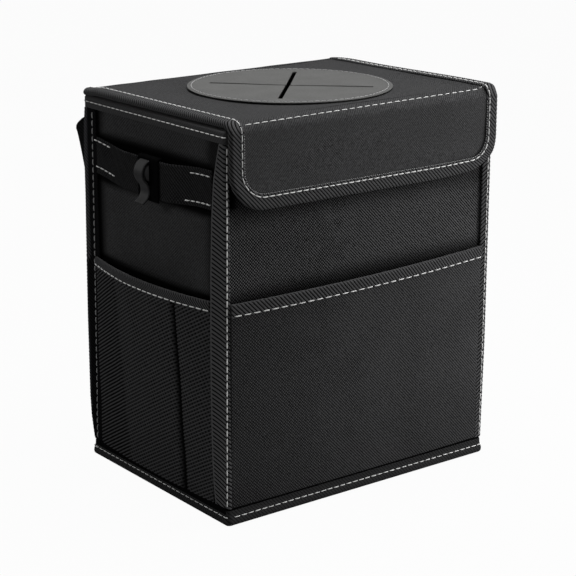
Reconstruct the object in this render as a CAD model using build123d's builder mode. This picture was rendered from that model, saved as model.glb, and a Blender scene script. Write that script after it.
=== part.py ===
from build123d import *
from math import atan2, degrees, sqrt
import os

# A soft car trash bin: a box of board-stiffened cloth panels with bound edges, a lid with a slit
# rubber insert and a fold-down flap, three outside pockets, side straps with sliding hooks and a
# hanging strap behind.
# Millimetres. X runs to the right, Y to the back and Z up, from the centre of the base on the floor.

# Box
body_width = 225.0  # across the outer faces of the side panels
body_depth = 167.0  # from the front panel's face to the back panel's
body_height = 265.0  # floor to the panels' top edges
panel_thickness = 4.0
liner_thickness = 0.8
clearance = 0.3  # between pieces that move or lie beside each other

# Binding tape
tape_thickness = 1.2
tape_corner_radius = 2.4
base_tape_height = 11.0
base_tape_reach = 9.0  # in under the floor
rim_tape_height = 8.0  # of each leg, down from the panels' top edges

# Tapes over the upright seams: front ones have a narrow leg, and a wide one whose free edge stands
# away; rear ones stand off the corner like a piping
front_narrow_leg = 5.0
front_wide_leg = 15.0
front_foot_leg = 13.0
front_head_leg = 5.0
front_flare = 4.0
rear_side_leg = 14.0
rear_leg = 9.0
rear_end_leg = 8.0
rear_flare = 2.0
rear_piping = 1.5  # stand of the rear tape off the corner, each way
end_flare = 0.4  # what is left of a flare at the foot and the head
shoulder_flare = 0.7  # share of the front flare at the stations between

# Lid
lid_thickness = 2.4
lid_overhang = 1.5  # of the bound edge past the side panels
lid_tape_width = 10.0
lid_rear_corner = 8.0  # radius, seen from above
lid_hinge_setback = 2.0  # of the hinge axis behind the rim tape
hinge_strip_height = 12.0
hinge_strip_inset = 12.0  # from the lid's bound edges
hinge_strip_thickness = 1.5

# Rubber insert
insert_radius = 71.5
insert_place = (3.0, 1.5)  # of its centre, seen from above
insert_thickness = 2.0
insert_edge = 0.6
insert_sewn_width = 8.5  # laid over the lid round its hole
slit_length = 112.0
slit_width = 3.0
slit_angles = (47.5, -45.5)  # from X, seen from above

# Flap
flap_thickness = 2.0
flap_height = 56.0  # fold axis to the bound lower edge
flap_corner_radius = 17.0
flap_tape_width = 10.0
flap_tape_start = 3.0  # below the fold axis

# Touch fastener under the flap
grip_width = 60.0
grip_height = 20.0
grip_lift = 4.0  # above the flap's lower tape

# Front pocket
pocket_thickness = 1.4
pocket_tape_thickness = 1.0
pocket_tape_height = 8.0
pocket_tape_slip = 0.1  # left between a pocket's tape and the wall at the pocket's ends
front_pocket_height = 152.0  # floor to the sheet's top edge
front_pocket_bow = 9.0
front_pocket_foot_bow = 0.8

# Mesh side pockets, each bowed evenly, with a knife pleat near the front and a soft ridge near the back
mesh_thickness = 1.2
mesh_height = 151.0
mesh_bow = 8.5
mesh_foot_bow = 2.6
pleat_depth = 1.6
pleat_foot_depth = 0.8
pleat_run = 2.0  # along the side, from the under fold to the over fold
pleat_setback = 44.0  # from the pocket's front end, at the top
pleat_foot_setback = 36.0
ridge_setback = 27.0  # from the pocket's rear end, at the top
ridge_foot_setback = 36.0

# Side straps
side_strap_width = 26.0
side_strap_thickness = 1.6
side_strap_drop = 29.0  # from the panels' top edges
side_strap_standoff = 5.0
side_strap_sewn = 24.0  # length sewn down at each end
side_strap_ramp = 22.0
side_strap_bend = 10.0

# Hooks, each a clip over the strap's top edge with a bent strip on its face
hook_width = 10.6
hook_thickness = 1.4
hook_offset = -4.2  # from the strap's middle, towards the front
hook_drop = 1.8  # of the upper lobe's top below the clip's
hook_upper_radius = 8.6
hook_upper_shift = -2.7  # of the upper lobe's centre out from the clip's plate
hook_start_angle = 72.0  # where the upper lobe leaves the plate
hook_lower_radius = 8.6
hook_lower_share = 0.6  # of the strip's thickness by which the lower lobe stands off the plate's middle
hook_end_angle = 250.0  # of the lower lobe's free end
clip_width = 24.0
clip_offset = -2.6  # from the hook's middle, towards the front
clip_plate = 30.0  # height of the plate in front of the strap
clip_back_leg = 13.0  # behind the strap, down from its top edge
clip_bend = 1.0

# Hanging strap, which leans out towards its upper edge, and its slide
hanging_strap_width = 38.0
hanging_strap_thickness = 1.8
hanging_strap_drop = 21.0  # from the panels' top edges
hanging_strap_standoff = 29.5  # of the upper edge
hanging_strap_foot_standoff = 18.5  # of the lower edge
hanging_strap_bend = 2.5
hanging_strap_step_bend = 1.5  # where it steps over the slide's middle bar
adjuster_bar = 4.0
adjuster_middle_bar = 6.0
adjuster_window = 10.0
adjuster_rim = 4.0
adjuster_thickness = 2.6
adjuster_edge = 0.6

# Derived places
half_width = body_width / 2
half_depth = body_depth / 2
inner_width = body_width - 2 * panel_thickness
inner_depth = body_depth - 2 * panel_thickness
floor_top = tape_thickness + panel_thickness
rim_foot = body_height - rim_tape_height
rim_top = body_height + tape_thickness

lid_bottom = rim_top + clearance + tape_thickness
lid_top = lid_bottom + lid_thickness
lid_middle = lid_bottom + lid_thickness / 2
lid_half_width = half_width + lid_overhang
lid_panel_half = lid_half_width - tape_thickness
hinge_y = half_depth + tape_thickness + lid_hinge_setback
lid_rear = hinge_y + lid_thickness / 2

flap_back = -(half_depth + tape_thickness + clearance + tape_thickness)
fold_y = flap_back - flap_thickness / 2
flap_foot = lid_middle - flap_height
flap_panel_foot = flap_foot + tape_thickness

grip_gap = -flap_back - half_depth
grip_thickness = (grip_gap - clearance) / 2
grip_middle = flap_foot + flap_tape_width + grip_lift + grip_height / 2

pocket_foot = base_tape_height
front_pocket_half = half_width - front_narrow_leg - clearance
side_front = -half_depth + front_wide_leg + clearance
side_rear = half_depth - rear_side_leg - clearance
side_middle = (side_front + side_rear) / 2

side_strap_top = body_height - side_strap_drop
hook_middle = side_middle + hook_offset
clip_middle = hook_middle + clip_offset
hanging_strap_top = body_height - hanging_strap_drop
hanging_strap_half = half_width - rear_leg - clearance - hanging_strap_thickness / 2

os.makedirs("parts", exist_ok=True)


def write(part, name):
    """Label a finished piece and write it."""
    part.label = name
    export_step(part, f"parts/{name}.step")


def between(low, high, share):
    """The value at a share of the way from low to high."""
    return low + (high - low) * share


# Floor: a board between the walls, with a pad that fills the window in the base tape
with BuildPart() as base_panel:
    with BuildSketch():
        Rectangle(body_width - 2 * base_tape_reach, body_depth - 2 * base_tape_reach)
    extrude(amount=tape_thickness)
    with BuildSketch(Plane.XY.offset(tape_thickness)):
        Rectangle(inner_width, inner_depth)
    extrude(amount=panel_thickness)
write(base_panel.part, "base_panel")

# Walls: the front and the back run the full width, the sides fit between them
wall_height = body_height - tape_thickness
for name, sign in (("front_panel", -1), ("back_panel", 1)):
    with BuildPart() as wide_wall:
        with BuildSketch(Plane.XY.offset(tape_thickness)):
            with Locations((0, sign * (half_depth - panel_thickness / 2))):
                Rectangle(body_width, panel_thickness)
        extrude(amount=wall_height)
    write(wide_wall.part, name)
for name, sign in (("left_panel", -1), ("right_panel", 1)):
    with BuildPart() as side_wall:
        with BuildSketch(Plane.XY.offset(tape_thickness)):
            with Locations((sign * (half_width - panel_thickness / 2), 0)):
                Rectangle(panel_thickness, inner_depth)
        extrude(amount=wall_height)
    write(side_wall.part, name)

# Liner: a thin open bag that hangs from the mouth
with BuildPart() as liner:
    with BuildSketch(Plane.XY.offset(floor_top)):
        Rectangle(inner_width, inner_depth)
    extrude(amount=body_height - floor_top)
    with BuildSketch(Plane.XY.offset(floor_top + liner_thickness)):
        Rectangle(inner_width - 2 * liner_thickness, inner_depth - 2 * liner_thickness)
    extrude(amount=body_height - floor_top, mode=Mode.SUBTRACT)
write(liner.part, "liner")

# Base tape: an outer leg up the walls and an under leg that the walls stand on
with BuildPart() as base_binding:
    with BuildSketch():
        RectangleRounded(body_width + 2 * tape_thickness, body_depth + 2 * tape_thickness,
                         tape_corner_radius)
        Rectangle(body_width - 2 * base_tape_reach, body_depth - 2 * base_tape_reach,
                  mode=Mode.SUBTRACT)
    extrude(amount=base_tape_height)
    with BuildSketch(Plane.XY.offset(tape_thickness)):
        Rectangle(body_width, body_depth)
    extrude(amount=base_tape_height, mode=Mode.SUBTRACT)
write(base_binding.part, "base_binding")

# Rim tape: folded over the walls and the liner round the mouth
mouth_width = inner_width - 2 * liner_thickness
mouth_depth = inner_depth - 2 * liner_thickness
with BuildPart() as rim_binding:
    with BuildSketch(Plane.XY.offset(rim_foot)):
        RectangleRounded(body_width + 2 * tape_thickness, body_depth + 2 * tape_thickness,
                         tape_corner_radius)
        Rectangle(mouth_width - 2 * tape_thickness, mouth_depth - 2 * tape_thickness,
                  mode=Mode.SUBTRACT)
    extrude(amount=rim_top - rim_foot)
    with BuildSketch(Plane.XY.offset(rim_foot)):
        Rectangle(body_width, body_depth)
        Rectangle(mouth_width, mouth_depth, mode=Mode.SUBTRACT)
    extrude(amount=rim_tape_height, mode=Mode.SUBTRACT)
    outer_rim = rim_binding.faces().sort_by(Axis.Z)[-1].outer_wire().edges()
    chamfer(outer_rim, length=tape_thickness / 3)
write(rim_binding.part, "rim_binding")


def seam_tape_outline(leg, flare, piping, place):
    """Four corners of a leg's section: it leaves the corner past its piping and ends a flare away."""
    return (
        place(-tape_thickness - piping, 0),
        place(-tape_thickness - piping, tape_thickness + piping),
        place(leg, tape_thickness + flare),
        place(leg, flare),
    )


# Upright seam tapes
seam_height = rim_foot - base_tape_height
front_stations = (
    (0.0, front_foot_leg, end_flare),
    (0.2, front_wide_leg, front_flare * shoulder_flare),
    (0.5, front_wide_leg, front_flare),
    (0.8, front_wide_leg, front_flare * shoulder_flare),
    (1.0, front_head_leg, end_flare),
)
rear_stations = (
    (0.0, rear_end_leg, end_flare, 0),
    (0.2, rear_leg, rear_flare, rear_piping),
    (0.75, rear_leg, rear_flare, rear_piping / 2),
    (1.0, rear_end_leg, end_flare, 0),
)
for side_name, side in (("left", -1), ("right", 1)):
    with BuildPart() as front_seam:
        for share, leg, flare in front_stations:
            with BuildSketch(Plane.XY.offset(base_tape_height + share * seam_height)):
                with BuildLine():
                    Polyline(
                        *seam_tape_outline(
                            leg, flare, 0,
                            lambda along, out: (side * (half_width + out), along - half_depth),
                        ),
                        close=True,
                    )
                make_face()
        loft()
        with BuildSketch(Plane.XY.offset(base_tape_height)):
            with Locations((side * (half_width + (tape_thickness - front_narrow_leg) / 2),
                            -half_depth - tape_thickness / 2)):
                Rectangle(front_narrow_leg + tape_thickness, tape_thickness)
        extrude(amount=seam_height)
    write(front_seam.part, f"corner_binding_front_{side_name}")

    with BuildPart() as rear_seam:
        for share, leg, flare, piping in rear_stations:
            with BuildSketch(Plane.XY.offset(base_tape_height + share * seam_height)):
                with BuildLine():
                    Polyline(
                        *seam_tape_outline(
                            leg, flare, piping,
                            lambda along, out: (side * (half_width - along), half_depth + out),
                        ),
                        close=True,
                    )
                make_face()
        loft()
        with BuildSketch(Plane.XY.offset(base_tape_height)):
            with Locations((side * (half_width + tape_thickness / 2),
                            half_depth + (tape_thickness - rear_side_leg) / 2)):
                Rectangle(tape_thickness, rear_side_leg + tape_thickness)
        extrude(amount=seam_height)
    write(rear_seam.part, f"corner_binding_rear_{side_name}")


def front_pocket_outline(level, inner, outer):
    """Plan of the front pocket at a height, as a strip between two bowed lines."""
    share = (level - pocket_foot) / (front_pocket_height - pocket_foot)
    seat = between(0, pocket_tape_thickness, share)
    bow = between(front_pocket_foot_bow, front_pocket_bow, share)
    near = -(half_depth + seat + inner)
    far = -(half_depth + seat + outer)
    with BuildLine() as outline:
        back = ThreePointArc((-front_pocket_half, near), (0, near - bow), (front_pocket_half, near))
        face = ThreePointArc((-front_pocket_half, far), (0, far - bow), (front_pocket_half, far))
        Line(back @ 0, face @ 0)
        Line(back @ 1, face @ 1)
    return outline.line


# Front pocket: a sheet that bows away from the wall towards its top
with BuildPart() as front_pocket:
    for level in (pocket_foot, front_pocket_height):
        with BuildSketch(Plane.XY.offset(level)):
            make_face(front_pocket_outline(level, 0, pocket_thickness))
    loft(ruled=True)
write(front_pocket.part, "front_pocket")

# Its tape is folded over the top edge
with BuildPart() as front_pocket_binding:
    for level in (front_pocket_height - pocket_tape_height,
                  front_pocket_height + pocket_tape_thickness):
        with BuildSketch(Plane.XY.offset(level)):
            make_face(front_pocket_outline(level, pocket_tape_slip - pocket_tape_thickness,
                                           pocket_thickness + pocket_tape_thickness))
    loft(ruled=True)
    add(front_pocket.part, mode=Mode.SUBTRACT)
write(front_pocket_binding.part, "front_pocket_binding")


def mesh_outline(level, inner, outer, side):
    """Plan of a side pocket at a height: front stretch, knife pleat, crown and rear stretch."""
    share = (level - pocket_foot) / (mesh_height - pocket_foot)
    seat = between(0, pocket_tape_thickness, share)
    bow = between(mesh_foot_bow, mesh_bow, share)
    depth = between(pleat_foot_depth, pleat_depth, share)
    pleat_y = side_front + between(pleat_foot_setback, pleat_setback, share)
    ridge_y = side_rear - between(ridge_foot_setback, ridge_setback, share)
    crown_y = (pleat_y + ridge_y) / 2

    def bowed(y):
        return bow * (1 - ((y - side_middle) / (side_rear - side_middle)) ** 2)

    front = (side_front, 0)
    under = (pleat_y - pleat_run, bowed(pleat_y) - depth)
    over = (pleat_y, bowed(pleat_y))
    crown = (crown_y, bowed(crown_y))
    ridge = (ridge_y, bowed(ridge_y))
    rear = (side_rear, 0)
    with BuildLine() as outline:
        ends = []
        for offset in (inner, outer):
            def place(point):
                return (side * (half_width + seat + offset + point[1]), point[0])
            first = Line(place(front), place(under))
            Line(place(under), place(over))
            ThreePointArc(place(over), place(crown), place(ridge))
            last = Line(place(ridge), place(rear))
            ends.append((first @ 0, last @ 1))
        Line(ends[0][0], ends[1][0])
        Line(ends[0][1], ends[1][1])
    return outline.line


for side_name, side in (("left", -1), ("right", 1)):
    with BuildPart() as mesh_pocket:
        for level in (pocket_foot, mesh_height):
            with BuildSketch(Plane.XY.offset(level)):
                make_face(mesh_outline(level, 0, mesh_thickness, side))
        loft(ruled=True)
    write(mesh_pocket.part, f"{side_name}_mesh_pocket")

    with BuildPart() as mesh_binding:
        for level in (mesh_height - pocket_tape_height, mesh_height + pocket_tape_thickness):
            with BuildSketch(Plane.XY.offset(level)):
                make_face(mesh_outline(level, pocket_tape_slip - pocket_tape_thickness,
                                       mesh_thickness + pocket_tape_thickness, side))
        loft(ruled=True)
        add(mesh_pocket.part, mode=Mode.SUBTRACT)
    write(mesh_binding.part, f"{side_name}_pocket_binding")

# Side straps: sewn flat at both ends, standing off the wall between
strap_seat = half_width + side_strap_thickness / 2
strap_run = strap_seat + side_strap_standoff
for side_name, side in (("left", -1), ("right", 1)):
    with BuildPart() as side_strap:
        with BuildSketch(Plane.XY.offset(side_strap_top - side_strap_width)):
            with BuildLine():
                FilletPolyline(
                    (side * strap_seat, side_front),
                    (side * strap_seat, side_front + side_strap_sewn),
                    (side * strap_run, side_front + side_strap_sewn + side_strap_ramp),
                    (side * strap_run, side_rear - side_strap_sewn - side_strap_ramp),
                    (side * strap_seat, side_rear - side_strap_sewn),
                    (side * strap_seat, side_rear),
                    radius=side_strap_bend,
                )
            trace(line_width=side_strap_thickness)
        extrude(amount=side_strap_width)
    write(side_strap.part, f"{side_name}_side_strap")

# Hooks: a clip over the strap's top edge, and a strip that leaves its plate round an upper lobe and
# comes back to it round a lower one
clip_gap = side_strap_thickness / 2 + clearance + hook_thickness / 2
clip_back = strap_run - clip_gap
clip_front = strap_run + clip_gap
clip_bridge = side_strap_top + 2 * clearance + hook_thickness / 2
clip_head = clip_bridge + hook_thickness / 2
upper_x = clip_front + hook_upper_shift
upper_z = clip_bridge - hook_drop - hook_upper_radius
lower_x = clip_front + hook_lower_share * hook_thickness + hook_lower_radius
lobe_distance = hook_upper_radius + hook_lower_radius
lower_z = upper_z - sqrt(lobe_distance**2 - (lower_x - upper_x) ** 2)
meet_angle = degrees(atan2(lower_z - upper_z, lower_x - upper_x))


def turned(angle, side):
    """An angle in the right-hand hook's view, seen for the hook on either side."""
    return angle if side > 0 else 180 - angle


for side_name, side in (("left", -1), ("right", 1)):
    with BuildPart() as hook:
        with BuildSketch(Plane.XZ.offset(-clip_middle)):
            with BuildLine():
                FilletPolyline(
                    (side * clip_back, side_strap_top - clip_back_leg),
                    (side * clip_back, clip_bridge),
                    (side * clip_front, clip_bridge),
                    (side * clip_front, clip_head - clip_plate),
                    radius=clip_bend,
                )
            trace(line_width=hook_thickness)
        extrude(amount=clip_width / 2, both=True)
        with BuildSketch(Plane.XZ.offset(-hook_middle)):
            with BuildLine():
                CenterArc((side * upper_x, upper_z), hook_upper_radius, turned(hook_start_angle, side),
                          side * (meet_angle - hook_start_angle))
                CenterArc((side * lower_x, lower_z), hook_lower_radius, turned(meet_angle + 180, side),
                          side * (hook_end_angle - meet_angle - 180))
            trace(line_width=hook_thickness)
        extrude(amount=hook_width / 2, both=True)
    write(hook.part, f"{side_name}_hook")

# Hanging strap: its ends leave the wall beside the rear tapes, and it steps over the slide's middle bar
lean = hanging_strap_standoff - hanging_strap_foot_standoff
slope_length = sqrt(hanging_strap_width**2 + lean**2)
slope_stretch = slope_length / hanging_strap_width
strap_step = (adjuster_thickness + hanging_strap_thickness + 2 * clearance) * slope_stretch
step_head = adjuster_middle_bar / 2 + hanging_strap_thickness
step_foot = adjuster_middle_bar / 2 + adjuster_window - hanging_strap_thickness


def hanging_strap_path(standoff):
    """The strap's line in plan at one of its edges, mirrored about the middle."""
    run = half_depth + standoff
    half = (
        (hanging_strap_half, half_depth),
        (hanging_strap_half, run),
        (step_foot, run),
        (step_head, run + strap_step),
    )
    points = [(-x, y) for x, y in half] + [(x, y) for x, y in reversed(half)]
    steps = [hanging_strap_step_bend] * 4
    with BuildLine() as path:
        FilletPolyline(*points, radius=[hanging_strap_bend, *steps, hanging_strap_bend])
    return path.line


hanging_strap_foot = hanging_strap_top - hanging_strap_width
with BuildPart() as hanging_strap:
    for level, standoff in ((hanging_strap_foot, hanging_strap_foot_standoff),
                            (hanging_strap_top, hanging_strap_standoff)):
        with BuildSketch(Plane.XY.offset(level)):
            trace(hanging_strap_path(standoff), line_width=hanging_strap_thickness)
    loft(ruled=True)
write(hanging_strap.part, "hanging_strap")

# Slide on the hanging strap: two windows either side of a middle bar, leaning as the strap does
adjuster_lift = hanging_strap_thickness / 2 + clearance
strap_plane = Plane(
    origin=(0, half_depth + (hanging_strap_standoff + hanging_strap_foot_standoff) / 2,
            hanging_strap_top - hanging_strap_width / 2),
    x_dir=(1, 0, 0),
    z_dir=(0, hanging_strap_width, -lean),
)
adjuster_length = adjuster_middle_bar + 2 * (adjuster_window + adjuster_bar)
window_spare = clearance + (adjuster_lift + adjuster_thickness) * lean / hanging_strap_width
window_height = slope_length + 2 * window_spare
adjuster_height = window_height + 2 * adjuster_rim
window_middle = (adjuster_middle_bar + adjuster_window) / 2
with BuildPart() as strap_adjuster:
    with BuildSketch(strap_plane.offset(adjuster_lift)):
        RectangleRounded(adjuster_length, adjuster_height, adjuster_rim / 2)
        with Locations((-window_middle, 0), (window_middle, 0)):
            Rectangle(adjuster_window, window_height, mode=Mode.SUBTRACT)
    extrude(amount=adjuster_thickness)
    outward = Axis(strap_plane.origin, strap_plane.z_dir)
    chamfer(strap_adjuster.faces().sort_by(outward)[-1].outer_wire().edges(), length=adjuster_edge)
write(strap_adjuster.part, "strap_adjuster")

# Fixed half of the touch fastener, on the front wall
with BuildPart() as front_loop_tape:
    with BuildSketch(Plane.XZ.offset(half_depth)):
        with Locations((0, grip_middle)):
            RectangleRounded(grip_width, grip_height, grip_height / 8)
    extrude(amount=grip_thickness)
write(front_loop_tape.part, "front_loop_tape")

# Cloth strip behind the mouth, under the lid's rear edge
hinge_strip_half = lid_half_width - hinge_strip_inset
with BuildPart() as lid_hinge_strip:
    with BuildSketch(Plane.YZ):
        with Locations((half_depth + tape_thickness, lid_bottom - clearance)):
            Rectangle(hinge_strip_thickness, hinge_strip_height, align=(Align.MIN, Align.MAX))
    extrude(amount=hinge_strip_half, both=True)
write(lid_hinge_strip.part, "lid_hinge_strip")


def panel_outline(half, foot, head, radius):
    """A panel's outline: square at its head, rounded at the corners of its foot."""
    with BuildLine() as outline:
        FilletPolyline((-half, head), (-half, foot), (half, foot), (half, head), radius=radius)
        Line((half, head), (-half, head))
    return outline.line


# Lid: rounded on the hinge axis behind, hollowed for the flap's fold in front
fold_hollow = flap_thickness / 2 + clearance
with BuildPart() as lid_panel:
    with BuildSketch(Plane.YZ):
        with Locations((fold_y, lid_middle)):
            Rectangle(hinge_y - fold_y, lid_thickness, align=(Align.MIN, Align.CENTER))
        with Locations((hinge_y, lid_middle)):
            Circle(lid_thickness / 2)
        with Locations((fold_y, lid_middle)):
            Circle(fold_hollow, mode=Mode.SUBTRACT)
            Rectangle(fold_hollow, lid_thickness, align=(Align.MIN, Align.MAX), mode=Mode.SUBTRACT)
    extrude(amount=lid_panel_half, both=True)
    with BuildSketch(Plane.XY.offset(lid_bottom)):
        with Locations(insert_place):
            Circle(insert_radius - insert_sewn_width)
    extrude(amount=lid_thickness, mode=Mode.SUBTRACT)
    with BuildSketch(Plane.XY.offset(lid_bottom)):
        make_face(panel_outline(lid_panel_half, lid_rear, fold_y, lid_rear_corner))
    extrude(amount=lid_thickness, mode=Mode.INTERSECT)
write(lid_panel.part, "lid_panel")

# Tapes folded over the lid's side edges
lid_tape_front = fold_y + flap_tape_start
lid_tape_rear = lid_rear - lid_rear_corner
for side_name, side in (("left", -1), ("right", 1)):
    with BuildPart() as lid_binding:
        with BuildSketch(Plane.XZ.offset(-lid_tape_rear)):
            with Locations((side * (lid_half_width - lid_tape_width / 2), lid_middle)):
                RectangleRounded(lid_tape_width, lid_thickness + 2 * tape_thickness, tape_thickness)
            with Locations((side * lid_panel_half, lid_middle)):
                align_in = Align.MAX if side > 0 else Align.MIN
                Rectangle(2 * lid_tape_width, lid_thickness, align=(align_in, Align.CENTER),
                          mode=Mode.SUBTRACT)
        extrude(amount=lid_tape_rear - lid_tape_front)
    write(lid_binding.part, f"lid_binding_{side_name}")

# Rubber insert: a disc sewn over the lid's hole, with two slits that cross
with BuildPart() as rubber_insert:
    with BuildSketch(Plane.XY.offset(lid_top)):
        with Locations(insert_place):
            Circle(insert_radius)
            for angle in slit_angles:
                SlotOverall(slit_length, slit_width, rotation=angle, mode=Mode.SUBTRACT)
    extrude(amount=insert_thickness)
    chamfer(rubber_insert.faces().sort_by(Axis.Z)[-1].outer_wire().edges(), length=insert_edge)
write(rubber_insert.part, "rubber_insert")

# Flap: a panel that hangs from the fold at the lid's front edge
with BuildPart() as flap_panel:
    with BuildSketch(Plane.XZ.offset(-flap_back)):
        make_face(panel_outline(lid_panel_half, flap_panel_foot, lid_middle, flap_corner_radius))
    extrude(amount=flap_thickness)
    with BuildSketch(Plane.YZ):
        with Locations((fold_y, lid_middle)):
            Circle(flap_thickness / 2)
    extrude(amount=lid_panel_half, both=True)
write(flap_panel.part, "flap_panel")

# Tape folded over the flap's sides and lower edge
flap_tape_head = lid_middle - flap_tape_start
with BuildPart() as flap_binding:
    with BuildSketch(Plane.XZ.offset(-flap_back - tape_thickness)):
        make_face(panel_outline(lid_half_width, flap_foot, flap_tape_head,
                               flap_corner_radius + tape_thickness))
        make_face(panel_outline(lid_half_width - flap_tape_width, flap_foot + flap_tape_width,
                               flap_tape_head, flap_corner_radius - flap_tape_width
                               + tape_thickness),
                  mode=Mode.SUBTRACT)
    extrude(amount=flap_thickness + 2 * tape_thickness)
    add(flap_panel.part, mode=Mode.SUBTRACT)
write(flap_binding.part, "flap_binding")

# Moving half of the touch fastener, on the flap's inner face
with BuildPart() as flap_hook_tape:
    with BuildSketch(Plane.XZ.offset(-flap_back)):
        with Locations((0, grip_middle)):
            RectangleRounded(grip_width, grip_height, grip_height / 8)
    extrude(amount=-grip_thickness)
write(flap_hook_tape.part, "flap_hook_tape")
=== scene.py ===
from collections import namedtuple
from math import atan2, cos, degrees, pi, radians, sin, sqrt

import bmesh
import bpy
import numpy as np
from mathutils import Matrix, Vector

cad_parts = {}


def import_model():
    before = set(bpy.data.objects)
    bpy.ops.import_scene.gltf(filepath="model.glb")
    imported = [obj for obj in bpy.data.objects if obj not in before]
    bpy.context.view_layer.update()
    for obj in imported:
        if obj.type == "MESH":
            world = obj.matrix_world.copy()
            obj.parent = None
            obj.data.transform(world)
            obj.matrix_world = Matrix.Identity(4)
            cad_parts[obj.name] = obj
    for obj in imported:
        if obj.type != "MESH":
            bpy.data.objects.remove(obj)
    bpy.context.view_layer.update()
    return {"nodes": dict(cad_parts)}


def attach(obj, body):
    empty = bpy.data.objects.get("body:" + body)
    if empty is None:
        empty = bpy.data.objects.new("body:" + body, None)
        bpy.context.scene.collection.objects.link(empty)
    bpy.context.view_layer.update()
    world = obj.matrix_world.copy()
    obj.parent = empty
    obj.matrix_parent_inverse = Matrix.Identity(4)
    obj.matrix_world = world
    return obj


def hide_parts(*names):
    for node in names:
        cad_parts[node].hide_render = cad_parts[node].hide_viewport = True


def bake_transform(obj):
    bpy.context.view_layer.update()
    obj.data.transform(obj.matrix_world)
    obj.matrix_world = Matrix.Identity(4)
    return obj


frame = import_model()

# Lengths are in millimetres until a mesh is written. Front is -Y, left is -X, and the floor is Z 0.
MM = 0.001

# Box and tapes; a tape's cords lean along it by TAPE_LEAN for each step across it.
HALF_WIDTH = 112.5
HALF_DEPTH = 83.5
WALL_TOP = 265.0
WALL_FOOT = 1.2
PANEL = 4.0
SIDE_FRONT = -68.2
SIDE_REAR = 69.2
TAPE = 1.2
TAPE_HALF = TAPE / 2
TAPE_LEAN = 0.9
TAPE_RADIUS = 1.8
SEAM_FOOT = 12.0
SEAM_HEAD = 257.0
RIGHT_SWELL = 0.9
SWELL_LEVELS = (11, 50, 85, 245, 257)
SWELL_SHARES = (0.2, 0.6, 1, 1, 0)

# Pockets, which leave the walls at POCKET_BASE, and straps
POCKET_BASE = 11.0
POCKET_LEFT = -110.8
POCKET_RIGHT = 107.2
POCKET_FOOT = 12.4
POCKET_TOP = 152.0
POCKET_HALF = 0.7
NET_REAR = 73.2
NET_FOOT = 11.6
NET_TOP = 151.0
NET_HALF = 0.6
NET_PITCH = 2.3
NET_HOLE = 3.2
FOLD_TAPE_HALF = 0.5
STRAP_FRONT = -70.6
STRAP_WIDTH = 26.0
STRAP_LEVEL = 210.0
STRAP_HALF = 0.8

# Lid, flap and rubber insert
LID_MIDDLE = 268.9
LID_HALF = 1.2
LID_EDGE = 112.8
LID_REAR = 87.9
LID_CORNER = 8.0
LID_FRONT = -76.0
HINGE_Y = 86.7
FOLD_Y = -87.2
FOLD_RADIUS = 6.0
FLAP_HALF = 1.0
FLAP_FOOT = 212.9
FLAP_CORNER = 26.0
BOUND_EDGE = 114.0
BOUND_WIDTH = 10.6
INSERT_X = 3.0
INSERT_Y = 1.5
INSERT_RADIUS = 71.5
INSERT_TOP = 271.7


# Mesh helpers


# Places within a rounded edge, as shares of its radius
EDGE_LEAD = np.array([0, 0.07, 0.28, 0.6])


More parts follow.
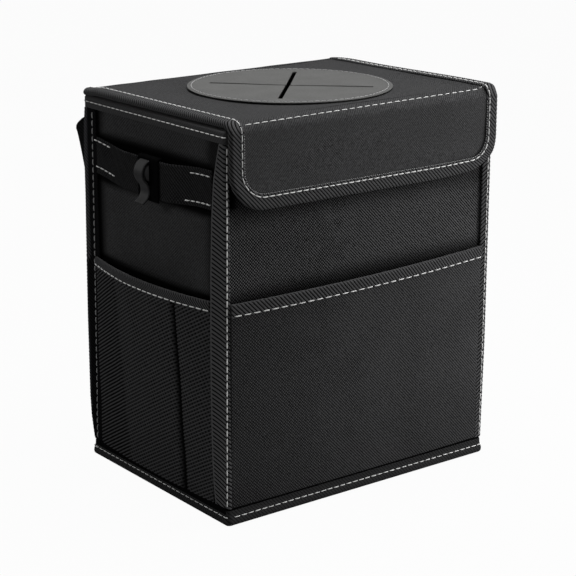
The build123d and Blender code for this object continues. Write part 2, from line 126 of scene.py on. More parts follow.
class Quads:
    """Grids of quads gathered for one mesh."""

    def __init__(self):
        self.points = []
        self.faces = []
        self.uvs = []
        self.cords = []
        self.total = 0

    def grid(self, points, uv=None, wrap=False, flip=False, cord=None):
        """Add a grid of points, rows by columns; wrap joins the last row to the first.

        uv is in millimetres on the surface; cord is a second pair that each kind of material reads.
        """
        rows, columns = points.shape[:2]
        index = np.arange(rows * columns).reshape(rows, columns) + self.total
        if wrap:
            index = closed(index)
        fore, aft = slice(None, -1), slice(1, None)
        corners = [(fore, fore), (aft, fore), (aft, aft), (fore, aft)]
        if flip:
            corners.reverse()
        for store, values, width in ((self.faces, index, 4), (self.uvs, uv, 2), (self.cords, cord, 2)):
            if values is None:
                values = np.zeros(index.shape + (2,))
            store.append(np.stack([values[corner] for corner in corners], axis=2).reshape(-1, width))
        self.points.append(points.reshape(-1, 3))
        self.total += rows * columns

    def slab(self, middle, half, out, relief, uv, share=None, wrap=False, under=1, cord=None):
        """Add a closed sheet about a grid of middle points, with a relief on its outer face.

        share is the part of the half-thickness left near the edges; without it all four are rounded.
        The inner face has one row and column in as many as under says.
        """
        if share is None:
            share = edge_share(uv[..., 0], uv[..., 1], half)
        normal = normals(middle, out, wrap)
        half = half * share
        self.grid(middle + normal * (half + relief * share)[..., None], uv, wrap, cord=cord)
        rows, columns = [np.unique(np.append(np.arange(0, count, under), count - 1))
                         for count in middle.shape[:2]]
        lower = (middle - normal * half[..., None])[rows][:, columns]
        if wrap:
            rows = np.append(rows, len(uv) - 1)
        self.grid(lower, uv[rows][:, columns], wrap, flip=True)
        return self

    def piece(self, name, material, slot, body=None, nodes=()):
        """The mesh as a smooth, welded piece that rides on a body and stands for CAD nodes."""
        points = np.concatenate(self.points) * MM
        faces = np.concatenate(self.faces)
        mesh = bpy.data.meshes.new(name)
        mesh.vertices.add(len(points))
        mesh.vertices.foreach_set("co", points.ravel())
        mesh.loops.add(faces.size)
        mesh.loops.foreach_set("vertex_index", faces.ravel())
        mesh.polygons.add(len(faces))
        mesh.polygons.foreach_set("loop_start", np.arange(0, faces.size, 4))
        for layer_name, places in (("weave", self.uvs), ("cord", self.cords)):
            layer = mesh.uv_layers.new(name=layer_name)
            layer.data.foreach_set("uv", np.concatenate(places).ravel())
        mesh.update(calc_edges=True)
        shape = bmesh.new()
        shape.from_mesh(mesh)
        bmesh.ops.remove_doubles(shape, verts=shape.verts, dist=1e-7)
        bmesh.ops.dissolve_degenerate(shape, edges=shape.edges, dist=1e-8)
        bmesh.ops.recalc_face_normals(shape, faces=shape.faces)
        shape.to_mesh(mesh)
        shape.free()
        mesh.polygons.foreach_set("use_smooth", np.ones(len(mesh.polygons), dtype=bool))
        mesh.materials.append(material)
        piece = bpy.data.objects.new(name, mesh)
        bpy.context.collection.objects.link(piece)
        if nodes:
            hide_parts(*nodes)
        if body:
            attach(piece, body)
        return piece


def stacked(*values):
    """Values side by side for each place of a grid: its point, or its pair of texture coordinates."""
    return np.stack(np.broadcast_arrays(*values), axis=-1).astype(float)


def grid_of(along, across):
    return np.meshgrid(along, across, indexing="ij")


def closed(line):
    """A ring of rows with its first row again at its end."""
    return np.vstack([line, line[:1]])


def unit(vectors):
    return vectors / np.maximum(np.linalg.norm(vectors, axis=-1, keepdims=True), 1e-9)


def normals(points, out, wrap):
    """Unit normals of a grid, turned as a whole towards the direction out."""
    if wrap:
        down = np.gradient(np.concatenate([points[-1:], points, points[:1]]), axis=0)[1:-1]
    else:
        down = np.gradient(points, axis=0)
    normal = unit(np.cross(down, np.gradient(points, axis=1)))
    return -normal if np.sum(normal * out) < 0 else normal


def spaced(length, step, half):
    """Places along a length, closing up within a half-thickness of each end for a round edge."""
    lead = half * EDGE_LEAD
    count = max(2, round((length - 2 * half) / step) + 1)
    return np.concatenate([lead, np.linspace(half, length - half, count), (length - lead)[::-1]])


def roundness(distance, half):
    """Share of the half-thickness that a rounded edge has at a distance from it."""
    gap = 1 - np.clip(distance / half, 0, 1)
    return np.sqrt(1 - gap**2)


def rounded(places, half):
    """The share at places that run from one rounded edge to another."""
    return roundness(np.minimum(places - places.min(), places.max() - places), half)


def edge_share(along, across, half):
    """The share over a grid whose four sides are rounded."""
    return rounded(along, half) * rounded(across, half)


def strip_share(run, width, half):
    """The same over a strip whose rows differ in width."""
    return roundness(np.minimum(width, width[:, -1:] - width), half) * rounded(run, half)[:, None]


def smooth(value):
    """A share from 0 to 1 with level ends."""
    value = np.clip(value, 0, 1)
    return value * value * (3 - 2 * value)


def waves(seed, count, shortest, longest):
    """A seeded soft unevenness of about unit height over two lengths."""
    rng = np.random.default_rng(seed)
    turn = rng.uniform(0, 2 * pi, count)
    length = rng.uniform(shortest, longest, count)
    phase = rng.uniform(0, 2 * pi, count)

    def height(along, across):
        total = np.zeros(np.broadcast(along, across).shape)
        for way, size, start in zip(turn, length, phase):
            total += np.sin(2 * pi * (along * cos(way) + across * sin(way)) / size + start)
        return total / sqrt(count)

    return height


def ribs(phase, height):
    """Rounded cords with sharp valleys; the phase grows by one from cord to cord."""
    return height * (np.abs(np.sin(pi * phase)) ** 0.8 - 0.6)


def chained(stretches):
    """One line from stretches, each a list of points and of the directions that go with them."""
    line = [np.concatenate(values) for values in zip(*stretches)]
    keep = np.append(True, np.linalg.norm(np.diff(line[0], axis=0), axis=1) > 1e-6)
    return [values[keep] for values in line]


def joined(*parts):
    """One line of points from several."""
    return chained([[part] for part in parts])[0]


def run_lengths(points):
    """Distance along a line of points."""
    return np.append(0, np.cumsum(np.linalg.norm(np.diff(points, axis=0), axis=1)))


def read_off(places, run, values):
    """Values that go with a line's points, at other distances along it."""
    return stacked(*[np.interp(places, run, column) for column in values.T])


def resample(points, step, *others):
    """A line of points at even spacing, with other values carried along it."""
    run = run_lengths(points)
    places = np.linspace(0, run[-1], max(2, round(run[-1] / step) + 1))
    return places, *[read_off(places, run, values) for values in (points, *others)]


def arc_section(centre, radius, first, last, count):
    """Points on an arc between two angles in degrees."""
    angles = np.radians(np.linspace(first, last, count))
    return stacked(centre[0] + radius * np.cos(angles), centre[1] + radius * np.sin(angles))


def leg_section(start, end, step=0.6, half=TAPE_HALF, first=False, last=False):
    """A straight part of a section, closing up where it is a free edge."""
    start = np.asarray(start, float)
    end = np.asarray(end, float)
    length = np.linalg.norm(end - start)
    places = np.linspace(0, length, max(3, round(length / step) + 1))
    lead = half * EDGE_LEAD
    if first:
        places = np.concatenate([lead, places[places >= half]])
    if last:
        places = np.concatenate([places[places <= length - half], (length - lead)[::-1]])
    return start + (end - start) * (places / length)[:, None]


# Materials


class Value:
    """A shader socket to reckon with; each step makes a Math node."""

    def __init__(self, socket):
        self.socket = socket

    def link(self, socket):
        self.socket.id_data.links.new(self.socket, socket)

    def maths(self, operation, *values):
        made = self.socket.id_data.nodes.new("ShaderNodeMath")
        made.operation = operation
        for socket, value in zip(made.inputs, values):
            feed(socket, value)
        return Value(made.outputs[0])

    def __add__(self, other):
        return self.maths("ADD", self, other)

    def __sub__(self, other):
        return self.maths("SUBTRACT", self, other)

    def __rsub__(self, other):
        return self.maths("SUBTRACT", other, self)

    def __mul__(self, other):
        return self.maths("MULTIPLY", self, other)

    def __pow__(self, other):
        return self.maths("POWER", self, other)

    def humps(self, wave):
        """The value's sine or cosine without its sign."""
        turned = self.maths(wave, self)
        return turned.maths("ABSOLUTE", turned)


def feed(socket, value):
    """Link a shader value to a socket, or set a plain one."""
    if isinstance(value, Value):
        value.link(socket)
    else:
        socket.default_value = value


def node(tree, kind, **settings):
    """A new node; a setting is what goes into an input of that name, or else a property."""
    made = tree.nodes.new(kind)
    for key, value in settings.items():
        name = key.replace("_", " ")
        if name in made.inputs:
            feed(made.inputs[name], value)
        else:
            setattr(made, key, value)
    return made


def output(name, tree, kind, **settings):
    """One output of a new node."""
    return Value(node(tree, kind, **settings).outputs[name])


def shader(name, colour, roughness, specular, sheen=0.0):
    """A plain material, with its tree and its main node."""
    material = bpy.data.materials.new(name)
    material.use_nodes = True
    bsdf = material.node_tree.nodes["Principled BSDF"]
    for key, value in (("Base Color", (*colour, 1)), ("Roughness", roughness),
                       ("Specular IOR Level", specular), ("Sheen Weight", sheen)):
        bsdf.inputs[key].default_value = value
    return material, material.node_tree, bsdf


def coordinates(tree, layer):
    """Both texture coordinates of a layer."""
    place = output("UV", tree, "ShaderNodeUVMap", uv_map=layer)
    split = node(tree, "ShaderNodeSeparateXYZ", Vector=place)
    return Value(split.outputs["X"]), Value(split.outputs["Y"])


def weave_bands(tree, pitch, turn, distortion):
    """Soft bands across the weave coordinates, which are in millimetres."""
    place = output("UV", tree, "ShaderNodeUVMap", uv_map="weave")
    turned = output("Vector", tree, "ShaderNodeMapping", Vector=place, Rotation=(0, 0, radians(turn)))
    return output("Fac", tree, "ShaderNodeTexWave", Vector=turned, Scale=0.314159 / pitch,
                  Distortion=distortion, Detail=2.0, Detail_Scale=3.0)


def position_noise(tree, size, detail=3.0):
    """Noise with features of a size in millimetres, fixed to the piece."""
    place = output("Object", tree, "ShaderNodeTexCoord")
    return output("Fac", tree, "ShaderNodeTexNoise", Vector=place, Scale=1000 / size, Detail=detail)


def soft_step(tree, value, first, last, least=0.0):
    """A rise from the least share to 1 between two values."""
    return output("Result", tree, "ShaderNodeMapRange", interpolation_type="SMOOTHSTEP", Value=value,
                  From_Min=first, From_Max=last, To_Min=least)


def shade_colour(tree, bsdf, colour, low, high, tone, shade=None):
    """Colour by tone, from low to high times a colour, darkened by painted shade to near black where the
    shade is 1.
    """
    ramp = node(tree, "ShaderNodeValToRGB", Fac=tone)
    for end, factor in zip(ramp.color_ramp.elements, (low, high)):
        end.color = (*[part * factor for part in colour], 1)
    result = Value(ramp.outputs["Color"])
    if shade:
        deep = node(tree, "ShaderNodeMix", data_type="RGBA")
        shade.link(deep.inputs[0])
        result.link(deep.inputs[6])
        # The near-black colour of painted shade
        deep.inputs[7].default_value = (0.0006, 0.0006, 0.0006, 1)
        result = Value(deep.outputs[2])
    result.link(bsdf.inputs["Base Color"])


def bump(tree, bsdf, height, strength, depth):
    """A fine relief, with its depth in millimetres."""
    output("Normal", tree, "ShaderNodeBump", Height=height, Strength=strength,
           Distance=depth * MM).link(bsdf.inputs["Normal"])


def twill(tree, pitch, turn, patches, dotted):
    """Diagonal lines that in patches break into dots, as a fine twill looks from a distance."""
    first = weave_bands(tree, pitch, turn, 1.6)
    second = weave_bands(tree, pitch, turn + 90, 1.6)
    patch = soft_step(tree, position_noise(tree, 14) + dotted, 1 - patches, 1.25 - patches)
    return first + patch * (first * second * 2.25 - first)


def cloth(name, colour, pitch, turn=-45.0, contrast=0.8, patches=0.55, roughness=0.9, strength=0.5,
          depth=0.25, lines=0.8, fleck=0.5, sheen=0.02):
    """Woven cloth: twill lines, flecks of thread, and worn a little paler in places.

    The cord coordinates give how far the lines break into dots, and how much painted shade darkens the
    cloth.
    """
    material, tree, bsdf = shader(name, colour, roughness, 0.0, sheen)
    # The second cord coordinate is painted shade
    dotted, shade = coordinates(tree, "cord")
    threads = twill(tree, pitch, turn, patches, dotted)
    speck = position_noise(tree, 1.5)
    tone = (threads - 0.5) * lines + 0.4 + position_noise(tree, 30) * 0.2 + (speck - 0.5) * fleck
    shade_colour(tree, bsdf, colour, 1 - contrast, 1 + contrast, tone, shade)
    bump(tree, bsdf, threads + speck * 0.4, strength, depth)
    return material


def tape(name, colour, valley, crest, sheen=0.02, pale=None):
    """Ribbed tape: pale cords with dark gaps and fine threads along the cords.

    The cord coordinates give the phase of the cords and how deep they are.
    pale gives the place across the tape past which a painted highlight makes it paler, and how many times.
    """
    material, tree, bsdf = shader(name, colour, 0.85, sheen, sheen)
    phase, share = coordinates(tree, "cord")
    height = 1.0 - (1.0 - (phase * pi).humps("SINE")) * share
    threads = weave_bands(tree, 0.9, 45.0, 1.0)
    speck = position_noise(tree, 1.3)
    tone = soft_step(tree, height, 0.28, 0.90) * (threads * 0.16 + speck * 0.24 + 0.8)
    # A painted highlight: the cords past the place across are paler
    if pale:
        place, times = pale
        crest = crest * times
        tone = tone * soft_step(tree, coordinates(tree, "weave")[1], place, place + 2.5, 1 / times)
    shade_colour(tree, bsdf, colour, valley, crest, tone)
    bump(tree, bsdf, threads + speck, 0.4, 0.15)
    return material


def moulded(name, colour, roughness, specular, grain=0.7, strength=0.2, contrast=0.2):
    """Plastic or rubber with a fine grain."""
    material, tree, bsdf = shader(name, colour, roughness, specular)
    fine = position_noise(tree, grain, 2.0)
    tone = fine * 0.6 + position_noise(tree, 18) * 0.4
    shade_colour(tree, bsdf, colour, 1 - contrast, 1 + contrast, tone)
    bump(tree, bsdf, fine, strength, 0.12)
    return material


def netting(name, colour):
    """Knitted net: raised diagonal courses with a row of dark holes in each valley.

    The cord coordinates give the share of yarn between the holes, and how much painted shade darkens the
    pleat's fold.
    """
    material, tree, bsdf = shader(name, colour, 0.85, 0.0, 0.02)
    line, across = coordinates(tree, "weave")
    course = (across * (pi / NET_PITCH)).humps("SINE")
    hole = (line * (pi / NET_HOLE)).humps("COSINE")
    dotted, shade = coordinates(tree, "cord")
    yarn = (1.0 - course) * ((1.0 - hole * hole) * dotted)
    speck = position_noise(tree, 2.2) - 0.5
    tone = course**3.2 * 0.95 + yarn * 0.65 + speck * 0.5
    shade_colour(tree, bsdf, colour, 0.01, 2.3, tone, shade)
    bump(tree, bsdf, position_noise(tree, 0.9), 0.35, 0.2)
    return material


CLOTH = cloth("black_oxford", (0.050, 0.050, 0.051), 1.6, contrast=0.97, lines=1.1)
POCKET_CLOTH = cloth("black_oxford_pocket", (0.044, 0.044, 0.045), 1.6, contrast=0.85)
LID_CLOTH = cloth("black_oxford_close", (0.048, 0.048, 0.049), 1.4, contrast=0.7, lines=0.45, fleck=1.1)
SIDE_CLOTH = cloth("black_oxford_side", (0.045, 0.045, 0.046), 1.6, contrast=0.85, patches=0.45)
BINDING = tape("black_twill_tape", (0.045, 0.045, 0.046), valley=0.04, crest=1.75)
SEAM_BINDING = tape("black_seam_tape", (0.048, 0.048, 0.049), valley=0.02, crest=2.15)
BASE_BINDING = tape("black_base_tape", (0.022, 0.022, 0.0225), valley=0.1, crest=1.5)
DARK_BINDING = tape("black_plain_tape", (0.050, 0.050, 0.051), valley=0.4, crest=1.1)
# The rear tapes are darker than the others as painted shade, and paler on their cords round the corner as
# a painted highlight
REAR_BINDING_PAINTED_SHADE_AND_HIGHLIGHT = tape("black_rear_tape_painted_shade_and_highlight", (0.0075, 0.0075, 0.008), valley=0.3, crest=1.3, sheen=0.0,
                    pale=(9.6, 8.0))
# Near-black cloth for strips that stand for shade: painted shade
PAINTED_SHADE_CLOTH = cloth("painted_shade_black", (0.005, 0.005, 0.0052), 1.6, contrast=0.5, sheen=0.0)
WEB = {"contrast": 0.7, "strength": 0.7, "sheen": 0.0}
WEBBING = cloth("black_webbing", (0.021, 0.021, 0.0215), 1.9, **WEB)
BACK_WEBBING = cloth("black_back_webbing", (0.009, 0.009, 0.0092), 1.9, **WEB)
NET = netting("black_net", (0.036, 0.036, 0.037))
LINING = cloth("grey_lining", (0.10, 0.10, 0.105), 0.7, turn=0.0, contrast=0.2, roughness=0.6,
               strength=0.25, depth=0.1)
SPUN = {"turn": 30.0, "contrast": 0.15, "strength": 0.3, "depth": 0.1}
THREAD = cloth("pale_thread", (0.80, 0.80, 0.79), 0.6, **SPUN)
FAINT_THREAD = cloth("grey_thread", (0.42, 0.42, 0.42), 0.6, **SPUN)
RUBBER = moulded("grey_rubber", (0.100, 0.100, 0.098), 0.7, 0.05, grain=1.4, strength=0.3, contrast=0.42)
PLASTIC = moulded("dark_plastic", (0.0145, 0.0145, 0.015), 0.55, 0.12)
# The boss is a lighter copy of the hook plastic: painted light for the lit inside of the upper lobe
BOSS_PAINTED_LIGHT_PLASTIC = moulded("hook_boss_painted_light", (0.05, 0.05, 0.051), 0.55, 0.12)
CLIP_PLASTIC = moulded("black_plastic", (0.004, 0.004, 0.0042), 0.9, 0.0)
GRIP = cloth("touch_fastener", (0.020, 0.020, 0.021), 1.4, contrast=0.6, strength=0.9, depth=0.5)


# Walls and floor


Side = namedtuple("Side", "along out span face")

# Each wall's directions along it and out of it, half its length, and how far out its face is
SIDES = {
    "front": Side(np.array([1.0, 0, 0]), np.array([0, -1.0, 0]), HALF_WIDTH, HALF_DEPTH),
    "back": Side(np.array([-1.0, 0, 0]), np.array([0, 1.0, 0]), HALF_WIDTH, HALF_DEPTH),
    "left": Side(np.array([0, -1.0, 0]), np.array([-1.0, 0, 0]), HALF_DEPTH - PANEL, HALF_WIDTH),
    "right": Side(np.array([0, 1.0, 0]), np.array([1.0, 0, 0]), HALF_DEPTH - PANEL, HALF_WIDTH),
}
HANDS = {"left": -1, "right": 1}


def on_side(side, along, out, level):
    """Points on a wall: distances along it from its middle, out from its face and up."""
    wall_side = SIDES[side]
    along, out, level = np.broadcast_arrays(along, out, level)
    return (along[..., None] * wall_side.along + (wall_side.face + out)[..., None] * wall_side.out
            + level[..., None] * np.array([0, 0, 1.0]))


def bowed(place, first, last):
    """A share that is 1 midway between two places and falls to 0 at them."""
    middle = (first + last) / 2
    return 1 - ((place - middle) / (last - middle)) ** 2


def left_dots(x):
    """The twill of the front breaks into dots to the left."""
    return 0.3 - 0.55 * smooth((x + 90.0) / 150.0)


def front_pocket_lift(x):
    """The pocket's mouth climbs a little to the right."""
    return 4.8 * (x - POCKET_LEFT) / (POCKET_RIGHT - POCKET_LEFT)


def front_painted_shade(x, z):
    """Painted shade on the front wall: how dark it is in the pocket's mouth, under the flap and below the
    flap's left corner.
    """
    mouth = 0.8 * (1 - smooth((z - 150.0 - front_pocket_lift(x)) / 15.0))
    flap = 0.5 * smooth((z - 196.0) / 15.0)
    corner = smooth((-98.0 - x) / 9.0) * smooth((z - 209.0) / 7.0)
    return np.maximum.reduce([mouth, flap, corner])


def side_painted_shade(y, z):
    """Painted shade on a side wall: how dark it is beside its tapes, behind and just above its strap, and
    in its pocket's mouth.
    """
    beside = 0.7 * (1 - smooth(np.minimum(y - SIDE_FRONT, SIDE_REAR - y) / 11.0))
    strap = smooth((z - 203.0) / 6.0) * (1 - smooth((z - 238.5) / 7.0))
    edge = 156.0 - 3.5 * bowed(y, SIDE_FRONT, SIDE_REAR)
    mouth = 1 - smooth((z - edge + 2.5) / 5.0)
    return np.maximum.reduce([beside, strap, mouth])


def wall(side, seed):
    """A cloth-covered board, a little hollow; a side wall also sinks beside its tapes. The front and side
    walls carry painted shade.
    """
    half = PANEL / 2
    span = SIDES[side].span
    step = 3.5 if side == "back" else 2.5
    along, level = grid_of(spaced(2 * span, step, half), spaced(WALL_TOP - WALL_FOOT, step, half))
    middle = (1 - (along / span - 1) ** 2) * (1 - (2 * level / WALL_TOP - 1) ** 2)
    relief = 0.18 * waves(seed, 9, 45, 130)(along, level) - 0.3 - 0.7 * middle
    place = along - span
    z = level + WALL_FOOT
    cord = None
    if side in HANDS:
        y = HANDS[side] * place
        rim = 256.5
        border = np.minimum.reduce([y - SIDE_FRONT, SIDE_REAR - y, rim - z])
        relief = relief - 0.8 * (1 - smooth(border / 12.0))
        # A side wall's cord coordinates carry its painted shade
        cord = stacked(0, side_painted_shade(y, z))
    if side == "front":
        # The front wall's cord coordinates carry its dots and its painted shade
        cord = stacked(left_dots(place), front_painted_shade(place, z))
    quads = Quads().slab(on_side(side, place, -half, z), half, SIDES[side].out, relief,
                         stacked(along, level), under=4, cord=cord)
    material = SIDE_CLOTH if side in HANDS else CLOTH
    piece = quads.piece(f"{side}_wall", material, "oxford_cloth", "bin", [f"{side}_panel"])
    return piece


def floor_board():
    half = 2.6
    width, depth = 207.0, 149.0
    along, across = grid_of(spaced(width, 4.0, half), spaced(depth, 4.0, half))
    relief = -0.12 - 0.1 * waves(5, 7, 30, 90)(along, across)
    quads = Quads().slab(stacked(along - width / 2, across - depth / 2, half), half, (0, 0, -1), relief,
                         stacked(along, across), under=3)
    return quads.piece("floor_board", CLOTH, "oxford_cloth", "bin", ["base_panel"])


for number, side in enumerate(SIDES):
    wall(side, seed=11 + number)
floor_board()


# Tapes that run round the mouth and the foot, and the lining


def ring_path(half_x, half_y, radius, step, inset=0.0, arc_points=9):
    """A rounded rectangle seen from above, anticlockwise, with its outward directions.

    Rings at other insets have as many points, and their corners close up to a small radius.
    """
    stretches = []
    full_radius = radius
    radius = max(radius - inset, 0.3)
    for turn in range(4):
        ahead = np.array([cos(turn * pi / 2), sin(turn * pi / 2)])
        out = np.array([ahead[1], -ahead[0]])
        long_half, far = (half_x, half_y) if turn % 2 == 0 else (half_y, half_x)
        count = round(2 * (long_half - full_radius) / step)
        long_half, far = long_half - inset, far - inset
        run = np.linspace(-(long_half - radius), long_half - radius, count)
        stretches.append((run[:, None] * ahead + far * out, np.repeat(out[None], len(run), axis=0)))
        angles = np.linspace(0, pi / 2, arc_points)[1:-1]
        arc = np.cos(angles)[:, None] * out + np.sin(angles)[:, None] * ahead
        centre = (long_half - radius) * ahead + (far - radius) * out
        stretches.append((centre + radius * arc, arc))
    return [np.concatenate(values) for values in zip(*stretches)]


def section_tape(section, half, step, pitch, lean, height, fade):
    """A ribbed tape round the box: section gives out and up places of its middle across the tape."""
    ring_size = (HALF_WIDTH + half, HALF_DEPTH + half, TAPE_RADIUS, step)
    ring, outs = ring_path(*ring_size)
    rings = np.stack([ring_path(*ring_size, -out)[0] for out in section[:, 0]], axis=1)
    points = stacked(rings[..., 0], rings[..., 1], section[:, 1])
    across = run_lengths(section)
    run = run_lengths(closed(ring))
    along, width = grid_of(run, across)
    phase = along * round(run[-1] / pitch) / run[-1] - lean * width / pitch
    share = fade(width)
    relief = ribs(phase, height) * share
    return Quads().slab(points, half, stacked(outs[:, None, 0], outs[:, None, 1], 0), relief[:-1],
                        stacked(along, width), rounded(across, half), wrap=True, under=2,
                        cord=stacked(phase, share))


def rim_tape():
    bend, head, inner = 1.0, 264.8, -6.0
    section = joined(
        leg_section((0, SEAM_HEAD), (0, head - bend), step=1.0, first=True),
        arc_section((-bend, head - bend), bend, 0, 90, 6),
        leg_section((-bend, head), (bend + inner, head), step=1.2),
        arc_section((bend + inner, head - bend), bend, 90, 180, 6),
        leg_section((inner, head - bend), (inner, SEAM_HEAD), step=1.6, last=True),
    )
    quads = section_tape(section, TAPE_HALF, step=1.2, pitch=2.4, lean=TAPE_LEAN, height=0.12,
                         fade=lambda width: np.full_like(width, 0.5))
    return quads.piece("rim_tape", DARK_BINDING, "binding_tape", "bin", ["rim_binding"])


def base_tape():
    """A tape round the foot that swells to a soft cord at the floor."""
    swell, bend, plain = 1.3, 1.8, 8.6
    low = bend + TAPE_HALF
    rise = np.linspace(8.4, low, 10)[:-1]
    section = joined(
        leg_section((0, 10.7), (0, plain), first=True),
        stacked(swell * smooth((plain - rise) / 5.5), rise),
        arc_section((swell - bend, low), bend, 0, -90, 7),
        leg_section((swell - bend, TAPE_HALF), (-9.0, TAPE_HALF), step=2.0, last=True),
    )
    quads = section_tape(section, TAPE_HALF, step=0.75, pitch=2.6, lean=TAPE_LEAN, height=0.2,
                         fade=lambda width: 0.6 * (1 - smooth((width - plain) / 1.5)))
    return quads.piece("base_tape", BASE_BINDING, "binding_tape", "bin", ["base_binding"])


def foot_painted_shade_strip():
    """A dark strip round the foot, painted shade seen in the gap between the base tape and what stands on
    it.
    """
    half = 0.2
    section = leg_section((0, 14.5), (0, 9.5), step=2.4, half=half, first=True, last=True)
    quads = section_tape(section, half, step=3.0, pitch=4.0, lean=0.0, height=0.0, fade=np.zeros_like)
    return quads.piece("foot_painted_shade_strip", PAINTED_SHADE_CLOTH, "binding_tape", "bin")


def liner_bag():
    """The lining: a bag whose walls ripple a little, turned at the floor with soft corners."""
    half_width, half_depth, foot, top, corner = 108.1, 79.1, 5.7, 262.0, 7.0
    ring, outs = ring_path(half_width, half_depth, corner, 5.0, arc_points=6)
    run = run_lengths(closed(ring))
    levels = np.linspace(foot + corner, top, 45)
    turn = np.linspace(0, pi / 2, 7)[:-1]
    inset = np.concatenate([corner * (1 - np.sin(turn)), np.zeros(len(levels))])
    height = np.concatenate([foot + corner * (1 - np.cos(turn)), levels])
    along, level = grid_of(run[:-1], height)
    ripple = 0.45 + 0.35 * waves(31, 12, 18, 70)(along, level * 0.35)
    depth_in = inset[None] + ripple * smooth((level - foot) / 20) * smooth((top - level) / 12)
    plan = ring[:, None] - outs[:, None] * depth_in[..., None]
    quads = Quads()
    quads.grid(stacked(plan[..., 0], plan[..., 1], level), stacked(*grid_of(run, height)), wrap=True)
    bed_x, bed_y = grid_of(np.linspace(-half_width + corner, half_width - corner, 30),
                           np.linspace(-half_depth + corner, half_depth - corner, 22))
    rise = foot + 0.25 + 0.25 * waves(32, 8, 25, 80)(bed_x, bed_y)
    quads.grid(stacked(bed_x, bed_y, rise), stacked(bed_x, bed_y), flip=True)
    piece = quads.piece("lining_bag", LINING, "lining", "bin", ["liner"])
    return piece


rim_tape()
base_tape()
foot_painted_shade_strip()
liner_bag()


# Tapes over the upright seams


def right_swell(level):
    """How far the right front seam swells out at a level."""
    return RIGHT_SWELL * np.interp(level, SWELL_LEVELS, SWELL_SHARES)


def upright_tape(side, front):
    """A tape folded over an upright corner, with one leg whose free edge stands away."""
    hand = HANDS[side]
    up = spaced(SEAM_HEAD - SEAM_FOOT, 0.65 if front else 0.85, TAPE_HALF)
    levels = up + SEAM_FOOT
    share_up = up / up[-1]
    if front:
        legs = np.interp(share_up, (0, 0.06, 0.12, 0.2, 0.35, 0.8, 0.9, 0.957, 1.0),
                         (13, 14, 14, 13.5, 13, 13, 11.4, 8, 5))
        flares = np.interp(share_up, (0, 0.1, 0.2, 0.35, 0.5, 0.65, 0.8, 0.9, 1.0),
                           (0.4, 1.6, 2.7, 3.4, 3.1, 2.5, 1.1, 0.4, 0.3))
        pipings = right_swell(levels) * (hand > 0)
        shrink = np.ones_like(levels)
        narrow, narrow_step = 5.5 if hand > 0 else 2.2, 0.55
        pitch, lean, height = 2.95, 0.38, 0.45
    else:
        legs = np.interp(share_up, (0, 0.25, 0.75, 1.0), (8.2, 9, 9, 8.2))
        flares = np.interp(share_up, (0, 0.25, 0.5, 0.75, 1.0), (0.4, 1.6, 2.0, 1.6, 0.4))
        pipings = np.interp(levels, (11, 20, 30, 45, 105, 140, 175, 195, 225, 245, 257),
                            (0.2, 0.9, 1.6, 2.0, 1.95, 1.7, 1.35, 1.15, 1.15, 0.8, 0.2))
        shrink = np.interp(levels, (145, 151), (0.74, 1))
        narrow, narrow_step = 13.8, 1.0
        pitch, lean, height = 2.6, 0.6, 0.25
    bend = 1.6
    narrow_leg = leg_section((narrow, 0), (bend - TAPE_HALF, 0), step=narrow_step, first=True)[:, 0]
    wide = leg_section((0, 0), (1, 0), step=0.05, half=0.04, last=True)[:, 0]
    corner = np.linspace(0, pi / 2, 7)[1:-1]
    rows = []
    for leg, flare, piping, part in zip(legs, flares, pipings, shrink):
        inner = 1.0 + part * (narrow_leg - 1.0)
        short = stacked(inner, TAPE_HALF + piping * smooth((6.0 - inner) / 5.0))
        start = bend - TAPE_HALF - piping
        turn = stacked(start - bend * np.sin(corner), TAPE_HALF + piping - bend + bend * np.cos(corner))
        reach = start + (leg - start) * wide
        stand = flare * (0.35 * wide + 0.65 * wide**2) + piping * smooth((5.0 - reach) / 5.0)
        rows.append(np.concatenate([short, turn, stacked(-TAPE_HALF - stand, -reach)]))
    width = np.stack([run_lengths(row) for row in rows])
    inward, beyond = np.moveaxis(np.stack(rows), -1, 0)
    if front:
        x = hand * (HALF_WIDTH - inward)
        y = -(HALF_DEPTH + beyond)
    else:
        x = hand * (HALF_WIDTH + beyond)
        y = HALF_DEPTH - inward
    level = levels[:, None]
    bead = smooth((width[:, -1:] - width) / 0.8 - 1.0)
    phase = (level - np.where(width < narrow, TAPE_LEAN, lean) * (width - narrow)) / pitch
    relief = ribs(phase, height) * bead + 0.15 * (1 - bead)
    quads = Quads().slab(stacked(x, y, level), TAPE_HALF, (hand, -1 if front else 1, 0), relief,
                         stacked(level, width), strip_share(up, width, TAPE_HALF), under=2,
                         cord=stacked(phase, bead))
    end = "front" if front else "rear"
    # The rear tapes take the rear tape material, with painted shade and a painted highlight
    material = SEAM_BINDING if front else REAR_BINDING_PAINTED_SHADE_AND_HIGHLIGHT
    return quads.piece(f"seam_tape_{end}_{side}", material, "binding_tape", "bin",
                       [f"corner_binding_{end}_{side}"])


for side in HANDS:
    upright_tape(side, front=True)
    upright_tape(side, front=False)


# Front pocket


def front_pocket_face(x, level):
    """Distance of the pocket's middle out from the front wall."""
    share = (level - POCKET_BASE) / (POCKET_TOP - POCKET_BASE)
    bow = 0.8 + 5.6 * share
    return share + POCKET_HALF + bow * bowed(x, POCKET_LEFT, POCKET_RIGHT)


